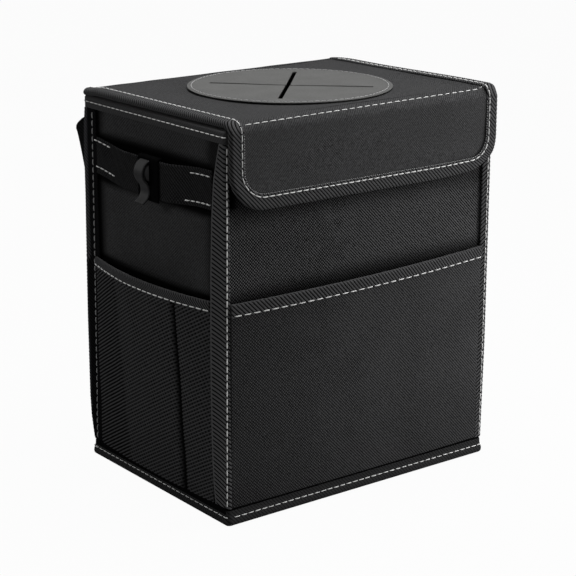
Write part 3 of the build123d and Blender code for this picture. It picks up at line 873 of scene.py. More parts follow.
def front_pocket():
    height = POCKET_TOP - POCKET_FOOT
    along, level = grid_of(spaced(POCKET_RIGHT - POCKET_LEFT, 2.0, POCKET_HALF),
                           spaced(height, 2.0, POCKET_HALF))
    x = along + POCKET_LEFT
    z = level + POCKET_FOOT
    uneven = waves(51, 10, 40, 120)(along, level) * 0.3 * edge_share(along, level, 12.0)
    middle = stacked(x, -(HALF_DEPTH + front_pocket_face(x, z) + uneven),
                     z + front_pocket_lift(x) * level / height)
    # Painted shade on the pocket: darker to the left and towards the foot
    shade = 0.18 * (1 - smooth((x + 110) / 90)) + 0.12 * (1 - smooth((z - 12) / 60))
    quads = Quads().slab(middle, POCKET_HALF, (0, -1, 0), 0.0, stacked(along, level), under=2,
                         cord=stacked(left_dots(x), shade))
    piece = quads.piece("pocket_sheet", POCKET_CLOTH, "oxford_cloth", "bin", ["front_pocket"])
    return piece


def fold_tape(name, cad_node, side, along, outs, top, half_sheet, drop, pitch, height,
              lift=np.zeros_like, chirp=0.0):
    """A tape folded over a pocket's top edge.

    outs gives the sheet's place at a height, lift the edge's rise, and chirp the change of pitch.
    """
    radius = half_sheet + FOLD_TAPE_HALF
    crown = top + 2 * FOLD_TAPE_HALF - radius - FOLD_TAPE_HALF
    section = joined(
        leg_section((radius, crown - drop), (radius, crown), half=FOLD_TAPE_HALF, first=True),
        arc_section((0, crown), radius, 0, 180, 11),
        leg_section((-radius, crown), (-radius, crown - drop), step=1.5, half=FOLD_TAPE_HALF, last=True),
    )
    across = run_lengths(section)
    run, width = grid_of(along, across)
    level = np.broadcast_to(section[:, 1], run.shape)
    points = on_side(side, run, section[:, 0] + outs(run, level), level + lift(run))
    fade = smooth(np.clip((across[-1] / 2 - width) / 2, 0, 1) + 0.3)
    phase = (run + TAPE_LEAN * width) / pitch + chirp * run**2
    quads = Quads().slab(points, FOLD_TAPE_HALF, SIDES[side].out, ribs(phase, height) * fade,
                         stacked(run, width), under=2, cord=stacked(phase, fade))
    return quads.piece(name, BINDING, "binding_tape", "bin", [cad_node])


front_pocket()
fold_tape("front_pocket_tape", "front_pocket_binding", "front",
          spaced(POCKET_RIGHT - POCKET_LEFT, 0.55, FOLD_TAPE_HALF) + POCKET_LEFT, front_pocket_face,
          POCKET_TOP, half_sheet=POCKET_HALF, drop=7.3, pitch=2.72, height=0.5,
          lift=front_pocket_lift, chirp=0.000142)


# Mesh side pockets


def net_share(level):
    """How far up a side pocket a level is, from 0 to 1."""
    return (level - POCKET_BASE) / (NET_TOP - POCKET_BASE)


def mesh_bow(y, level):
    """Distance of a side pocket's middle out from the side wall, without its pleat."""
    share = net_share(level)
    return share + NET_HALF + (2.6 + 5.9 * share) * bowed(y, SIDE_FRONT, NET_REAR)


def mesh_pleat(level):
    """Where along the side the pleat is."""
    return SIDE_FRONT + 31.7 + 4.5 * net_share(level)


def mesh_crease(level):
    """Where along the side the crease is."""
    return SIDE_REAR - 36.0 + 9.0 * net_share(level)


def pleat_share(y, level):
    """How far into the pleat's fold a place is, from 0 to 1; the fold widens towards the foot."""
    reach = 1.5 + 1.5 * (NET_TOP - level) / (NET_TOP - POCKET_BASE)
    return np.exp(-(((y - mesh_pleat(level)) / reach) ** 2))


def mesh_face(y, level):
    """A side pocket's middle with a knife pleat near the front and a crease near the back."""
    share = net_share(level)
    pleat = mesh_pleat(level)
    lead = np.clip((y - SIDE_FRONT) / (pleat - SIDE_FRONT), 0, 1)
    step = (0.4 + 0.5 * share) * lead**2 * (1 - smooth((y - pleat + 1.0) / 2.0))
    crease = (0.5 + 0.6 * share) * np.exp(-np.abs(y - mesh_crease(level)) / 4.0)
    return mesh_bow(y, level) - step - (1.3 + 0.6 * share) * pleat_share(y, level) + crease


def mesh_places(step):
    """Places along a side pocket, closer about its pleat."""
    places = np.sort(np.concatenate([spaced(NET_REAR - SIDE_FRONT, step, NET_HALF) + SIDE_FRONT,
                                     np.arange(-41.0, -28.0, 0.7)]))
    return places[np.append(True, np.diff(places) > 0.05)]


def mesh_pocket(side):
    half = NET_HALF
    hand = HANDS[side]
    y, level = grid_of(mesh_places(1.4)[::hand], spaced(NET_TOP - NET_FOOT, 0.7, half) + NET_FOOT)
    uneven = waves(61, 9, 25, 80)(y, level) * 0.35 * smooth((level - 14) / 30)
    lean = radians(29.0)
    course = y * sin(lean) + level * cos(lean)
    line = level * sin(lean) - y * cos(lean)
    ridge = np.abs(np.sin(pi * course / NET_PITCH))
    hole = np.abs(np.cos(pi * line / NET_HOLE))
    relief = 0.65 * ridge - 0.5 * (1 - ridge) * hole - 0.3
    # The second value is painted shade in the pleat's fold
    yarn = stacked(smooth((mesh_crease(level) - y) / 5.0), 0.96 * pleat_share(y, level))
    share = (roundness(np.minimum(y - SIDE_FRONT, NET_REAR - y), half)
             * roundness(np.minimum(level - NET_FOOT, NET_TOP - level), half))
    quads = Quads().slab(on_side(side, hand * y, mesh_face(y, level) + uneven, level), half,
                         SIDES[side].out, relief, stacked(line, course), share, under=3, cord=yarn)
    piece = quads.piece(f"{side}_net", NET, "pocket_mesh", "bin", [f"{side}_mesh_pocket"])
    return piece


def mesh_tape(side):
    hand = HANDS[side]
    fold_tape(f"{side}_net_tape", f"{side}_pocket_binding", side, hand * mesh_places(0.6)[::hand],
              lambda along, level: mesh_bow(hand * along, level), NET_TOP, half_sheet=NET_HALF, drop=5.8,
              pitch=2.3, height=0.2)


for side in HANDS:
    mesh_pocket(side)
    mesh_tape(side)


# Side straps and hooks


def strap_out(y):
    """Distance of a side strap's middle out from the wall: sewn down at its ends, and clear between."""
    rise = smooth((y - SIDE_FRONT - 14.0) / 33.0) * smooth((SIDE_REAR - 14.0 - y) / 32.0)
    return STRAP_HALF + 5.0 * rise


def strap_lift(y):
    """How far the strap rises towards its ends."""
    return 2.3 * smooth((-22.0 - y) / 45.0) + 2.4 * smooth((y - 44.0) / 28.0)


def webbing_relief(along, across, selvedge):
    """A coarse weave with a raised line near both edges."""
    weave = 0.1 * np.sin(2 * pi * along / 2.2) * np.cos(2 * pi * across / 2.2)
    from_edge = np.minimum(across, across.max() - across)
    return weave + 0.25 * np.exp(-((from_edge - selvedge) / 0.8) ** 2)


def side_strap(side):
    half = STRAP_HALF
    y, across = grid_of(spaced(SIDE_REAR - STRAP_FRONT, 0.8, half) + STRAP_FRONT,
                        spaced(STRAP_WIDTH, 0.8, half))
    along = HANDS[side] * y
    quads = Quads().slab(on_side(side, along, strap_out(y), across + STRAP_LEVEL + strap_lift(y)), half,
                         SIDES[side].out, webbing_relief(along, across, selvedge=1.4),
                         stacked(along, across), under=2)
    return quads.piece(f"{side}_strap", WEBBING, "webbing", "bin", [f"{side}_side_strap"])


def net_painted_shadow_strip(side):
    """A dark strip over the top of the base tape under a net: painted shade where the net overhangs the
    tape.
    """
    half, out, foot, height, span = 0.25, 1.55, 8.0, 4.2, 82.0
    y, across = grid_of(spaced(2 * span, 2.0, half) - span, spaced(height, 0.8, half))
    along = HANDS[side] * y
    quads = Quads().slab(on_side(side, along, out, across + foot), half, SIDES[side].out, 0.0,
                         stacked(along, across))
    return quads.piece(f"{side}_net_painted_shadow_strip", PAINTED_SHADE_CLOTH, "binding_tape", "bin")


def strip(line, width, middle, hand):
    """A plastic strip of even width along a line seen from the front, about a place along the side."""
    half = 0.7
    run, line = resample(line, 0.7)
    run, places = grid_of(run, spaced(width, 1.0, half))
    points = stacked(hand * line[:, None, 0], places - width / 2 + middle, line[:, None, 1])
    return Quads().slab(points, half, (hand, 0, 0.3), 0.0, stacked(run, places))


def hook(side):
    """A clip over the strap's top edge, with a strip on its face bent into two lobes about a boss."""
    radius, drop, bend, half = 8.6, 1.8, 1.0, 0.7
    back, front, bridge, foot, back_foot = 116.5, 120.1, 237.3, 208.0, 223.0
    upper = np.array([front - 2.7, bridge - drop - radius])
    lower_x = front + 0.84 + radius
    lower = np.array([lower_x, upper[1] - sqrt((2 * radius) ** 2 - (lower_x - upper[0]) ** 2)])
    meet = degrees(atan2(lower[1] - upper[1], lower[0] - upper[0]))
    clip = joined(
        leg_section((back, back_foot), (back, bridge - bend), half=half, first=True),
        arc_section((back + bend, bridge - bend), bend, 180, 90, 6),
        arc_section((front - bend, bridge - bend), bend, 90, 0, 6),
        leg_section((front, bridge - bend), (front, foot), half=half, last=True),
    )
    lobes = joined(
        arc_section(upper, radius, 72, meet, 34),
        arc_section(lower, radius, meet + 180, 250, 24),
    )
    hand = HANDS[side]
    body = f"{side}_hook"
    plate = strip(clip, width=24.0, middle=-6.3, hand=hand)
    plate.piece(f"{side}_strap_clip", CLIP_PLASTIC, "hook_plastic", body)
    # The boss inside the upper lobe takes the lighter boss plastic, painted light
    turn = np.linspace(0, 2 * pi, 40, endpoint=False)[:, None]
    reach = np.array([0, 6.0, 6.6, 6.6, 0])
    place = np.array([-8.2, -8.2, -7.6, 1.4, 1.4])
    x = np.maximum(upper[0] + reach * np.cos(turn), front + 0.2)
    boss = Quads()
    boss.grid(stacked(hand * x, place, upper[1] + reach * np.sin(turn)), wrap=True)
    boss.piece(f"{side}_hook_boss", BOSS_PAINTED_LIGHT_PLASTIC, "hook_plastic", body)
    bent = strip(lobes, width=10.6, middle=-3.7, hand=hand)
    return bent.piece(f"{side}_strap_hook", PLASTIC, "hook_plastic", body, [f"{side}_hook"])


for side in HANDS:
    net_painted_shadow_strip(side)
    side_strap(side)
    hook(side)


# Hanging strap behind


def hanging_strap():
    """A loop across the back that stands out further at its top edge, with a hump for its slide."""
    half, width, foot = 0.9, 38.0, 206.0
    end, bend, rise, reach = 103.2, 4.0, 5.2, 2.2
    across = spaced(width, 0.9, half)
    rows = []
    for place in across:
        run = HALF_DEPTH + 18.5 + 11.0 * place / width
        flat = np.linspace(end - bend, 0, 80)[1:]
        hump = run + rise * smooth((11.6 - flat) / 7.2) + reach * smooth((flat - 30.0) / 50.0)
        half_line = np.concatenate([
            stacked(end, np.linspace(HALF_DEPTH, run + reach - bend, 12)),
            arc_section((end - bend, run + reach - bend), bend, 0, 90, 12)[1:],
            stacked(flat, hump),
        ])
        rows.append(np.concatenate([half_line, (half_line * (-1, 1))[-2::-1]]))
    plan = np.stack(rows, axis=1)
    middle_run = run_lengths(plan[:, len(across) // 2])
    from_end = np.minimum(middle_run, middle_run[-1] - middle_run)[:, None]
    dome = np.interp(from_end, (0, 10.4, 15, 19.4, 22, 24, 25.5, 28.5, 45, 70, 95),
                     (4.0, 3.8, 2.2, -0.8, -3.2, -5.6, -8.0, -9.0, -5, -1.5, 0))
    level = foot + across + dome * (across / width) ** 2
    run, place = grid_of(middle_run, across)
    quads = Quads().slab(stacked(plan[..., 0], plan[..., 1], level), half,
                         stacked(0.3 * np.sign(plan[..., 0]), 1, 0),
                         webbing_relief(run, place, selvedge=1.6), stacked(run, place),
                         rounded(place, half), under=2)
    return quads.piece("back_strap", BACK_WEBBING, "webbing", "bin", ["hanging_strap"])


hanging_strap()
slide = frame["nodes"]["strap_adjuster"]
slide.data.materials.clear()
slide.data.materials.append(PLASTIC)


# Lid and flap


LID_WAVES = waves(71, 9, 50, 140)
LID_RELIEF = 0.22


def settled(points):
    """Where the soft lid and flap lie: a little right, sagging behind, curling out at the foot."""
    x, y, z = np.moveaxis(points, -1, 0)
    back = np.clip((y - FOLD_Y) / (LID_REAR - FOLD_Y), 0, 1)
    left = np.clip(0.5 - x / (2 * LID_EDGE), 0, 1)
    sag = (1.1 - 0.5 * x / LID_EDGE) * smooth((y - 66.0) / 20.0)
    right_edge = smooth((x - 98.0) / 8.0) * smooth((z - LID_MIDDLE + 5.0) / 5.0)
    rise = 1.7 * smooth((50.0 - y) / 120.0) * right_edge
    curl = 2.0 * smooth((240.0 - z) / 28.0)
    corner = 5.2 * np.clip((x - 50.0) / 63.0, 0, 1) ** 2 * smooth((FLAP_FOOT + 16.0 - z) / 16.0)
    return stacked(x + 1.8 - 2.8 * back * left, y - curl, z + rise + corner - sag)


def lid_board():
    """The lid's cloth-covered board, open at the middle for the rubber insert."""
    hole, pull_edge = 63.0, LID_EDGE - 8.0
    centre_x = LID_EDGE - LID_CORNER
    centre_y = LID_REAR - LID_CORNER
    turn = np.linspace(0, pi / 2, 9)
    corner = np.arctan2(centre_y + LID_CORNER * np.sin(turn), centre_x + LID_CORNER * np.cos(turn))
    fronts = [atan2(LID_FRONT, LID_EDGE), atan2(LID_FRONT, -LID_EDGE)]
    even = np.linspace(-pi, pi, 200, endpoint=False)
    angles = np.sort(np.concatenate([even, corner, pi - corner, fronts]))
    cosine, sine = np.cos(angles), np.sin(angles)
    reach_x = LID_EDGE / np.maximum(np.abs(cosine), 1e-6)
    reach_y = np.where(sine > 0, LID_REAR, -LID_FRONT) / np.maximum(np.abs(sine), 1e-6)
    reach = np.minimum(reach_x, reach_y)
    ahead = np.abs(cosine) * centre_x + sine * centre_y
    bent = ahead + np.sqrt(np.maximum(ahead**2 - centre_x**2 - centre_y**2 + LID_CORNER**2, 0))
    at_corner = (reach * np.abs(cosine) > centre_x) & (reach * sine > centre_y)
    reach = np.where(at_corner, bent, reach)
    to_flap = (sine < 0) & (reach_y <= reach_x)
    lead = LID_HALF * np.append(EDGE_LEAD, 1.0)
    ease = np.linspace(0, 1, 18)[1:-1]
    radius = np.stack([np.concatenate([hole + lead, hole + LID_HALF + (edge - hole - 2 * LID_HALF) * ease,
                                       (edge - lead)[::-1]]) for edge in reach])
    pull = np.clip((pull_edge - radius) / (pull_edge - hole), 0, 1)
    x = radius * cosine[:, None] + (INSERT_X - 1.1) * pull
    y = radius * sine[:, None] + INSERT_Y * pull
    outer = np.where(to_flap[:, None], 1.0, roundness(reach[:, None] - radius, LID_HALF))
    relief = LID_WAVES(x, y) * LID_RELIEF * np.clip((LID_EDGE - np.abs(x)) / 20, 0, 1)
    share = roundness(radius - hole, LID_HALF) * outer
    quads = Quads().slab(settled(stacked(x, y, LID_MIDDLE)), LID_HALF, (0, 0, 1), relief,
                         closed(stacked(x, y)), share, wrap=True)
    return quads.piece("lid_board", LID_CLOTH, "oxford_cloth", "lid")


def spine(step):
    """The lid and flap's middle line from near the lid's front down to the flap's foot: y, z, out."""
    arc = np.linspace(0, pi / 2, 13)
    centre = np.array([FOLD_Y + FOLD_RADIUS, LID_MIDDLE - FOLD_RADIUS])
    lid_run = np.linspace(LID_FRONT, centre[0], round((centre[0] - LID_FRONT) / -step) + 1)
    lid_part = stacked(lid_run, LID_MIDDLE)
    outs = stacked(-np.sin(arc), np.cos(arc))
    down = spaced(centre[1] - (FLAP_FOOT + TAPE), step, FLAP_HALF)
    down = down[down >= FLAP_HALF]
    flap_part = stacked(FOLD_Y, centre[1] - down)
    return chained([
        (lid_part, np.repeat([[0.0, 1.0]], len(lid_part), axis=0)),
        (centre + FOLD_RADIUS * outs, outs),
        (flap_part, np.repeat([[-1.0, 0.0]], len(flap_part), axis=0)),
    ])


def to_fold(piece):
    """Bake a piece's placement into its mesh; the piece is already shaped over the fold."""
    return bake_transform(piece)


def flap_sheet():
    """The cloth from near the lid's front over the fold and down the flap, with round lower corners."""
    line, outs = spine(1.5)
    run = run_lengths(line)
    along, spread = grid_of(run, spaced(2 * LID_EDGE, 2.5, FLAP_HALF) / LID_EDGE - 1)
    corner = FLAP_CORNER - TAPE
    rise = np.clip(line[:, 1] - FLAP_FOOT - TAPE, 0, corner)
    half_width = (LID_EDGE - corner + np.sqrt(corner**2 - (corner - rise) ** 2))[:, None]
    x = spread * half_width
    y, z = line[:, :1], line[:, 1:]
    on_flap = smooth((along - 8.2) / 5.0)
    half = LID_HALF + (FLAP_HALF - LID_HALF) * on_flap
    share = roundness(half_width - np.abs(x), FLAP_HALF) * roundness(run[-1] - along, FLAP_HALF)
    soft = waves(72, 9, 45, 130)(x, along) * 0.3 * on_flap
    crown = 0.9 * on_flap * (1 - (x / LID_EDGE) ** 2) * np.sin(pi * np.clip((along - 10) / 52, 0, 1))
    relief = soft + crown + LID_WAVES(x, y) * LID_RELIEF * (1 - on_flap)
    quads = Quads().slab(settled(stacked(x, y, z)), half, stacked(0, outs[:, :1], outs[:, 1:]), relief,
                         stacked(x, along), share)
    piece = quads.piece("lid_and_flap_cloth", LID_CLOTH, "oxford_cloth", None,
                        ["lid_panel", "flap_panel"])
    return to_fold(piece)


def bound_path(step):
    """The line of the lid and flap's bound edge: points, directions over the edge and out of the face."""
    lid_in = LID_HALF + TAPE
    flap_in = FLAP_HALF + TAPE
    up, ahead, leftward = (0, 0, 1), (0, -1, 0), (-1, 0, 0)

    def count(length):
        return max(2, round(length / step) + 1)

    turn = np.linspace(pi / 2, 0, 14)
    lid_over = stacked(-np.cos(turn), np.sin(turn), 0)
    lid_turn = np.array([LID_CORNER - LID_EDGE, LID_REAR - LID_CORNER, LID_MIDDLE])
    y = np.linspace(LID_REAR - LID_CORNER, FOLD_Y + FOLD_RADIUS, count(LID_REAR - FOLD_Y))
    bend = np.linspace(0, pi / 2, 10)
    bend_out = stacked(0, -np.sin(bend), np.cos(bend))
    fold = np.array([0, FOLD_Y + FOLD_RADIUS, LID_MIDDLE - FOLD_RADIUS]) + FOLD_RADIUS * bend_out
    fold[:, 0] = -(BOUND_EDGE - lid_in + (lid_in - flap_in) * np.linspace(0, 1, 10))
    # Lengths that only set how many points the flap's straight stretches get
    flap_side, flap_foot = 34.8, 191.6
    z = np.linspace(LID_MIDDLE - FOLD_RADIUS, FLAP_FOOT + FLAP_CORNER, count(flap_side))
    sweep = np.linspace(0, pi / 2, 26)
    flap_over = stacked(-np.cos(sweep), 0, -np.sin(sweep))
    flap_turn = np.array([FLAP_CORNER - BOUND_EDGE, FOLD_Y, FLAP_FOOT + FLAP_CORNER])
    x = np.linspace(FLAP_CORNER - BOUND_EDGE, BOUND_EDGE - FLAP_CORNER, count(flap_foot))
    stretches = [
        (lid_turn + (LID_CORNER + TAPE - lid_in) * lid_over, lid_over, up),
        (stacked(lid_in - BOUND_EDGE, y, LID_MIDDLE), leftward, up),
        (fold, leftward, bend_out),
        (stacked(flap_in - BOUND_EDGE, FOLD_Y, z), leftward, ahead),
        (flap_turn + (FLAP_CORNER - flap_in) * flap_over, flap_over, ahead),
        (stacked(x, FOLD_Y, FLAP_FOOT + flap_in), (0, 0, -1), ahead),
    ]
    left = [[np.broadcast_to(values, stretch[0].shape) for values in stretch] for stretch in stretches]
    right = [[values[::-1] * (-1, 1, 1) for values in stretch] for stretch in left[-2::-1]]
    return chained(left + right)


def bound_tape():
    """One tape from the lid's rear left corner down round the flap and back to the rear right corner."""
    points, over, out = bound_path(0.5)
    run, points, over, out = resample(points, 0.65, over, out)
    over = unit(over)[:, None]
    out = unit(out)[:, None]
    on_flap = np.clip((LID_MIDDLE - points[:, 2:]) / FOLD_RADIUS, 0, 1)
    radius = LID_HALF + TAPE_HALF + (FLAP_HALF - LID_HALF) * on_flap
    corner = smooth((points[:, 1:2] - LID_REAR + LID_CORNER + 6.0) / 6.0)
    leg = BOUND_WIDTH - radius - TAPE_HALF - 1.4 * corner
    places = leg_section((0, 0), (1, 0), step=0.085, half=0.08, first=True)[:, 0]
    turn = np.linspace(0, pi, 10)[1:-1]
    legs = -leg * (1 - places)
    rows_over = np.concatenate([legs, radius * np.sin(turn), legs[:, ::-1]], axis=1)
    level = np.ones_like(places)
    rows_out = radius * np.concatenate([level, np.cos(turn), -level])
    middle = points[:, None] + over * rows_over[..., None] + out * rows_out[..., None]
    steps = np.hypot(np.diff(rows_over, axis=1), np.diff(rows_out, axis=1))
    width = np.concatenate([np.zeros((len(run), 1)), np.cumsum(steps, axis=1)], axis=1)
    hint = over * (rows_over + leg)[..., None] * 0.3 + out * rows_out[..., None]
    phase = middle[..., 0] / 2.83 + middle[..., 2] / 2.93 - (middle[..., 1] - FOLD_Y) / 2.3
    quads = Quads().slab(settled(middle), TAPE_HALF, hint, ribs(phase, 0.42), stacked(run[:, None], width),
                         strip_share(run, width, TAPE_HALF), under=2, cord=stacked(phase, 1.0))
    piece = quads.piece("lid_and_flap_tape", BINDING, "binding_tape", None,
                        ["lid_binding_left", "lid_binding_right", "flap_binding"])
    return to_fold(piece)


lid_board()
flap_sheet()
bound_tape()


# Rubber insert


def rubber_insert():
    """A disc cut by two slits that cross near its middle, so that its four leaves dip a little."""
    outer, foot, top = INSERT_RADIUS, 270.1, INSERT_TOP
    edge_round, undercut = 0.35, 2.4
    slit_halves = (2.0, 1.5, 2.0, 1.5, 2.0)
    slits = np.radians([-45.5, 47.5, 134.5, 227.5, 314.5])
    reaches = (59.9, 56.0, 55.2, 56.0, 59.9)
    slit_end = 0.4
    cross_x, cross_y, still = -1.33, 1.02, 62.0
    lead = np.append(EDGE_LEAD, 1.0)
    parts = np.concatenate([-1 + 0.012 * lead, np.linspace(-0.97, 0.97, 28), (1 - 0.012 * lead)[::-1]])
    quads = Quads()
    for quarter in range(4):
        spread = (slits[quarter + 1] - slits[quarter]) / 2
        heading = (slits[quarter + 1] + slits[quarter]) / 2
        tip = max(slit_halves) / sin(spread)
        radii = np.concatenate([tip + 0.5 * lead, np.linspace(tip + 1.2, 54.0, 20),
                                np.arange(54.4, 61.0, 0.4), np.linspace(61.5, outer - undercut, 9),
                                outer - np.array([1.6, 0.8, 0.35, 0.2, 0.1, 0.03, 0])])
        radius, part = grid_of(radii, parts)
        reach = np.where(part < 0, reaches[quarter], reaches[quarter + 1])
        slit_half = np.where(part < 0, slit_halves[quarter], slit_halves[quarter + 1])
        gap = np.arcsin(np.minimum(slit_half / radius, sin(spread)))
        gap = gap * np.clip((reach + slit_end - radius) / (2 * slit_end), 0, 1)
        angle = heading + part * (spread - gap)
        dip = 0.5 * smooth(1 - radius / 50.0) * (0.8 + 0.4 * sin(1.7 * quarter + 0.6))
        lip = (spread - gap) * (1 - np.abs(part)) * radius
        closing = np.where(radius < reach, roundness(lip, 0.3), 1.0)
        upper = top - edge_round * (1 - roundness(outer - radius, edge_round))
        lower = foot + (top - edge_round - foot) * (1 - np.clip((outer - radius) / undercut, 0, 1))
        middle = (upper + lower) / 2 - dip
        level = (upper - lower) / 2 * closing
        shift = smooth((outer - radius) / (outer - still))
        x = INSERT_X + radius * np.cos(angle) + cross_x * shift
        y = INSERT_Y + radius * np.sin(angle) + cross_y * shift
        quads.grid(stacked(x, y, middle + level), stacked(x, y))
        quads.grid(stacked(x, y, middle - level), stacked(x, y), flip=True)
    return quads.piece("rubber_disc", RUBBER, "grey_rubber", "lid", ["rubber_insert"])


rubber_insert()


# Cloth behind the hinge, and the touch fastener


def hinge_cloth():
    """A strip sewn to the back that runs up over the lid's rear edge."""
    half, left, width = 0.4, -107.5, 220.5
    rise = np.linspace(255.4, 266.6, 16)
    arc = np.linspace(-pi / 2 + 0.25, pi / 2, 14)
    line = joined(
        stacked(85.6 + 0.6 * smooth((rise - 262) / 5), rise),
        stacked(HINGE_Y + 1.75 * np.cos(arc), LID_MIDDLE + 1.4 * np.sin(arc)),
        stacked(np.linspace(HINGE_Y, 85.2, 5)[1:], LID_MIDDLE + 1.2),
    )
    run, line = resample(line, 0.6)
    along, x = grid_of(run, spaced(width, 3.0, half) + left)
    relief = 0.08 * waves(81, 8, 15, 50)(x, along)
    quads = Quads().slab(settled(stacked(x, line[:, :1], line[:, 1:])), half, (0, 1, 0.6), relief,
                         stacked(x, along))
    piece = quads.piece("hinge_cloth", CLOTH, "oxford_cloth", None, ["lid_hinge_strip"])
    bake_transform(piece)
    return piece


def grip_tape(name, cad_node, body, face, out, seed):
    """Half of the touch fastener, with a rough pile."""
    half, length, width, foot = 0.6, 60.0, 20.0, 226.9
    along, across = grid_of(spaced(length, 0.8, half), spaced(width, 0.8, half))
    pile = np.random.default_rng(seed).uniform(-0.12, 0.02, along.shape)
    quads = Quads().slab(stacked(along - length / 2, face, across + foot), half, (0, out, 0), pile,
                         stacked(along, across), under=3)
    return quads.piece(name, GRIP, "touch_fastener", body, [cad_node])


hinge_cloth()
grip_tape("wall_grip", "front_loop_tape", "bin", -84.1, -1, 91)
grip_tape("flap_grip", "flap_hook_tape", "flap", -85.6, 1, 92)


# Stitching


def stitches(quads, points, outs, pitch, dash, radius):
    """Thread dashes along a line on a surface: each one rises out of the cloth and dips back."""
    sink = 0.25
    run = run_lengths(points)
    count = max(1, int((run[-1] - dash) / pitch) + 1)
    start = (run[-1] - (count - 1) * pitch - dash) / 2
    share = np.linspace(0, 1, 7)
    swell = np.sqrt(np.clip(1 - np.abs(2 * share - 1) ** 3.2, 0, 1))
    girth = radius * (0.35 + 0.65 * swell)
    lift = radius * (swell - 0.35) - sink * (1 - swell)
    ring = np.linspace(0, 2 * pi, 6, endpoint=False)[:, None]
    uv = stacked(*np.meshgrid(np.linspace(0, dash, 9), np.linspace(0, 3, 7)))
    for number in range(count):
        places = start + number * pitch + share * dash
        line = read_off(places, run, points)
        out = unit(read_off(places, run, outs))
        across = unit(np.cross(unit(np.gradient(line, axis=0)), out))
        loop = (across[:, None] * np.cos(ring) + out[:, None] * np.sin(ring)) * girth[:, None, None]
        body = (line + out * lift[:, None])[:, None] + loop
        tips = [np.repeat(body[end].mean(axis=0)[None, None], len(ring), axis=1) for end in (0, -1)]
        body = np.concatenate([tips[0], body, tips[1]])
        quads.grid(np.transpose(body, (1, 0, 2)), uv, wrap=True)


def seam(name, body, lines, pitch, dash, radius=0.44, material=THREAD):
    """One piece of thread for a seam made of several lines, each of points and directions out."""
    quads = Quads()
    for points, outs in lines:
        stitches(quads, points, np.broadcast_to(outs, points.shape), pitch, dash, radius)
    return quads.piece(name, material, "binding_tape", body)


def sew_front_pocket():
    x = np.linspace(POCKET_LEFT + 1.5, POCKET_RIGHT - 0.7, 100)
    z = 145.2
    out = front_pocket_face(x, z) + 1.75
    points = stacked(x, -(HALF_DEPTH + out), z + front_pocket_lift(x))
    seam("front_pocket_thread", "bin", [(points, (0, -1.0, 0))], pitch=7.0, dash=6.0, radius=0.36)


def sew_net_tapes():
    y = mesh_places(2.0)
    z = 145.7 + 1.2 * smooth((y - 20.0) / 50.0)
    for side, hand in HANDS.items():
        points = on_side(side, hand * y, mesh_bow(y, z) + 1.65, z)
        seam(f"{side}_net_thread", "bin", [(points, SIDES[side].out)], pitch=6.2, dash=5.3)


def sew_corners():
    foot = 13.5
    z = np.linspace(foot, 255.0, 80)
    for side, hand in HANDS.items():
        if hand < 0:
            turn, inset, swell = np.radians(np.linspace(62, 12, len(z))), 1.0, 0.0
        else:
            turn, inset, swell = 0.0, 1.4, right_swell(z)
        out = stacked(hand * np.sin(turn), -np.cos(turn), 0)
        front = stacked(hand * (HALF_WIDTH - inset), -(HALF_DEPTH - 1.0 + swell), z) + 2.25 * out
        rear_side = stacked(hand * (113.85 + 0.3 * smooth((60 - z) / 40)),
                            np.interp(z, (foot, 150, 255), (78.8, 75.5, 73.4)), z)
        rear_back = stacked(hand * 107.5, 85.3, np.linspace(foot, 255.5, 122))
        seam(f"front_corner_thread_{side}", "bin", [(front, out)], pitch=5.5, dash=4.9, radius=0.42)
        seam(f"rear_corner_thread_{side}", "bin", [(rear_side, (hand, 0, 0)), (rear_back, (0, 1, 0))],
             pitch=5.5, dash=4.6, radius=0.38, material=FAINT_THREAD)


def sew_rings():
    for name, half_x, half_y, radius, level in (("base_thread", 114.3, 85.3, 2.9, 6.2),
                                                ("rim_thread", 113.8, 84.8, 2.4, 261.5)):
        ring, outs = [closed(values) for values in ring_path(half_x, half_y, radius, 1.5)]
        points = stacked(ring[:, 0], ring[:, 1], level)
        seam(name, "bin", [(points, stacked(outs[:, 0], outs[:, 1], 0))], pitch=5.6, dash=5.0, radius=0.36)


def sew_lid():
    points, over, out = bound_path(0.8)
    on_flap = np.clip((LID_MIDDLE - points[:, 2:]) / FOLD_RADIUS, 0, 1)
    surface = LID_HALF + (FLAP_HALF - LID_HALF) * on_flap + TAPE
    inset = -(BOUND_WIDTH - surface - 2.1)
    line = points + over * inset + out * (surface + 0.05)
    keep = line[:, 1] < LID_REAR - LID_CORNER
    to_fold(seam("bound_tape_thread", None, [(settled(line[keep]), out[keep])], pitch=5.4, dash=5.1,
                 radius=0.36))
    line = points + over * (inset - 2.0) + out * surface
    keep = points[:, 2] < LID_MIDDLE - FOLD_RADIUS
    seam("flap_edge_thread", "flap", [(settled(line[keep]), out[keep])], pitch=1.7, dash=0.95, radius=0.2,
         material=FAINT_THREAD)
    x = np.linspace(-102.4, 107.6, 120)
    arc = np.radians(np.interp(x, (-102, 107), (42, 17)))
    out = stacked(0, -np.sin(arc), np.cos(arc))
    fold = np.array([0, FOLD_Y + FOLD_RADIUS, LID_MIDDLE - FOLD_RADIUS]) + (FOLD_RADIUS + 1.15) * out
    fold[:, 0] = x
    to_fold(seam("fold_thread", None, [(settled(fold), out)], pitch=6.5, dash=5.5, radius=0.29))
    ring = arc_section((INSERT_X, INSERT_Y), INSERT_RADIUS - 2.9, 0, 360, 240)
    ring = stacked(ring[:, 0], ring[:, 1], INSERT_TOP + 0.05)
    seam("insert_thread", "lid", [(ring, (0, 0, 1.0))], pitch=4.4, dash=4.0, radius=0.24,
         material=FAINT_THREAD)


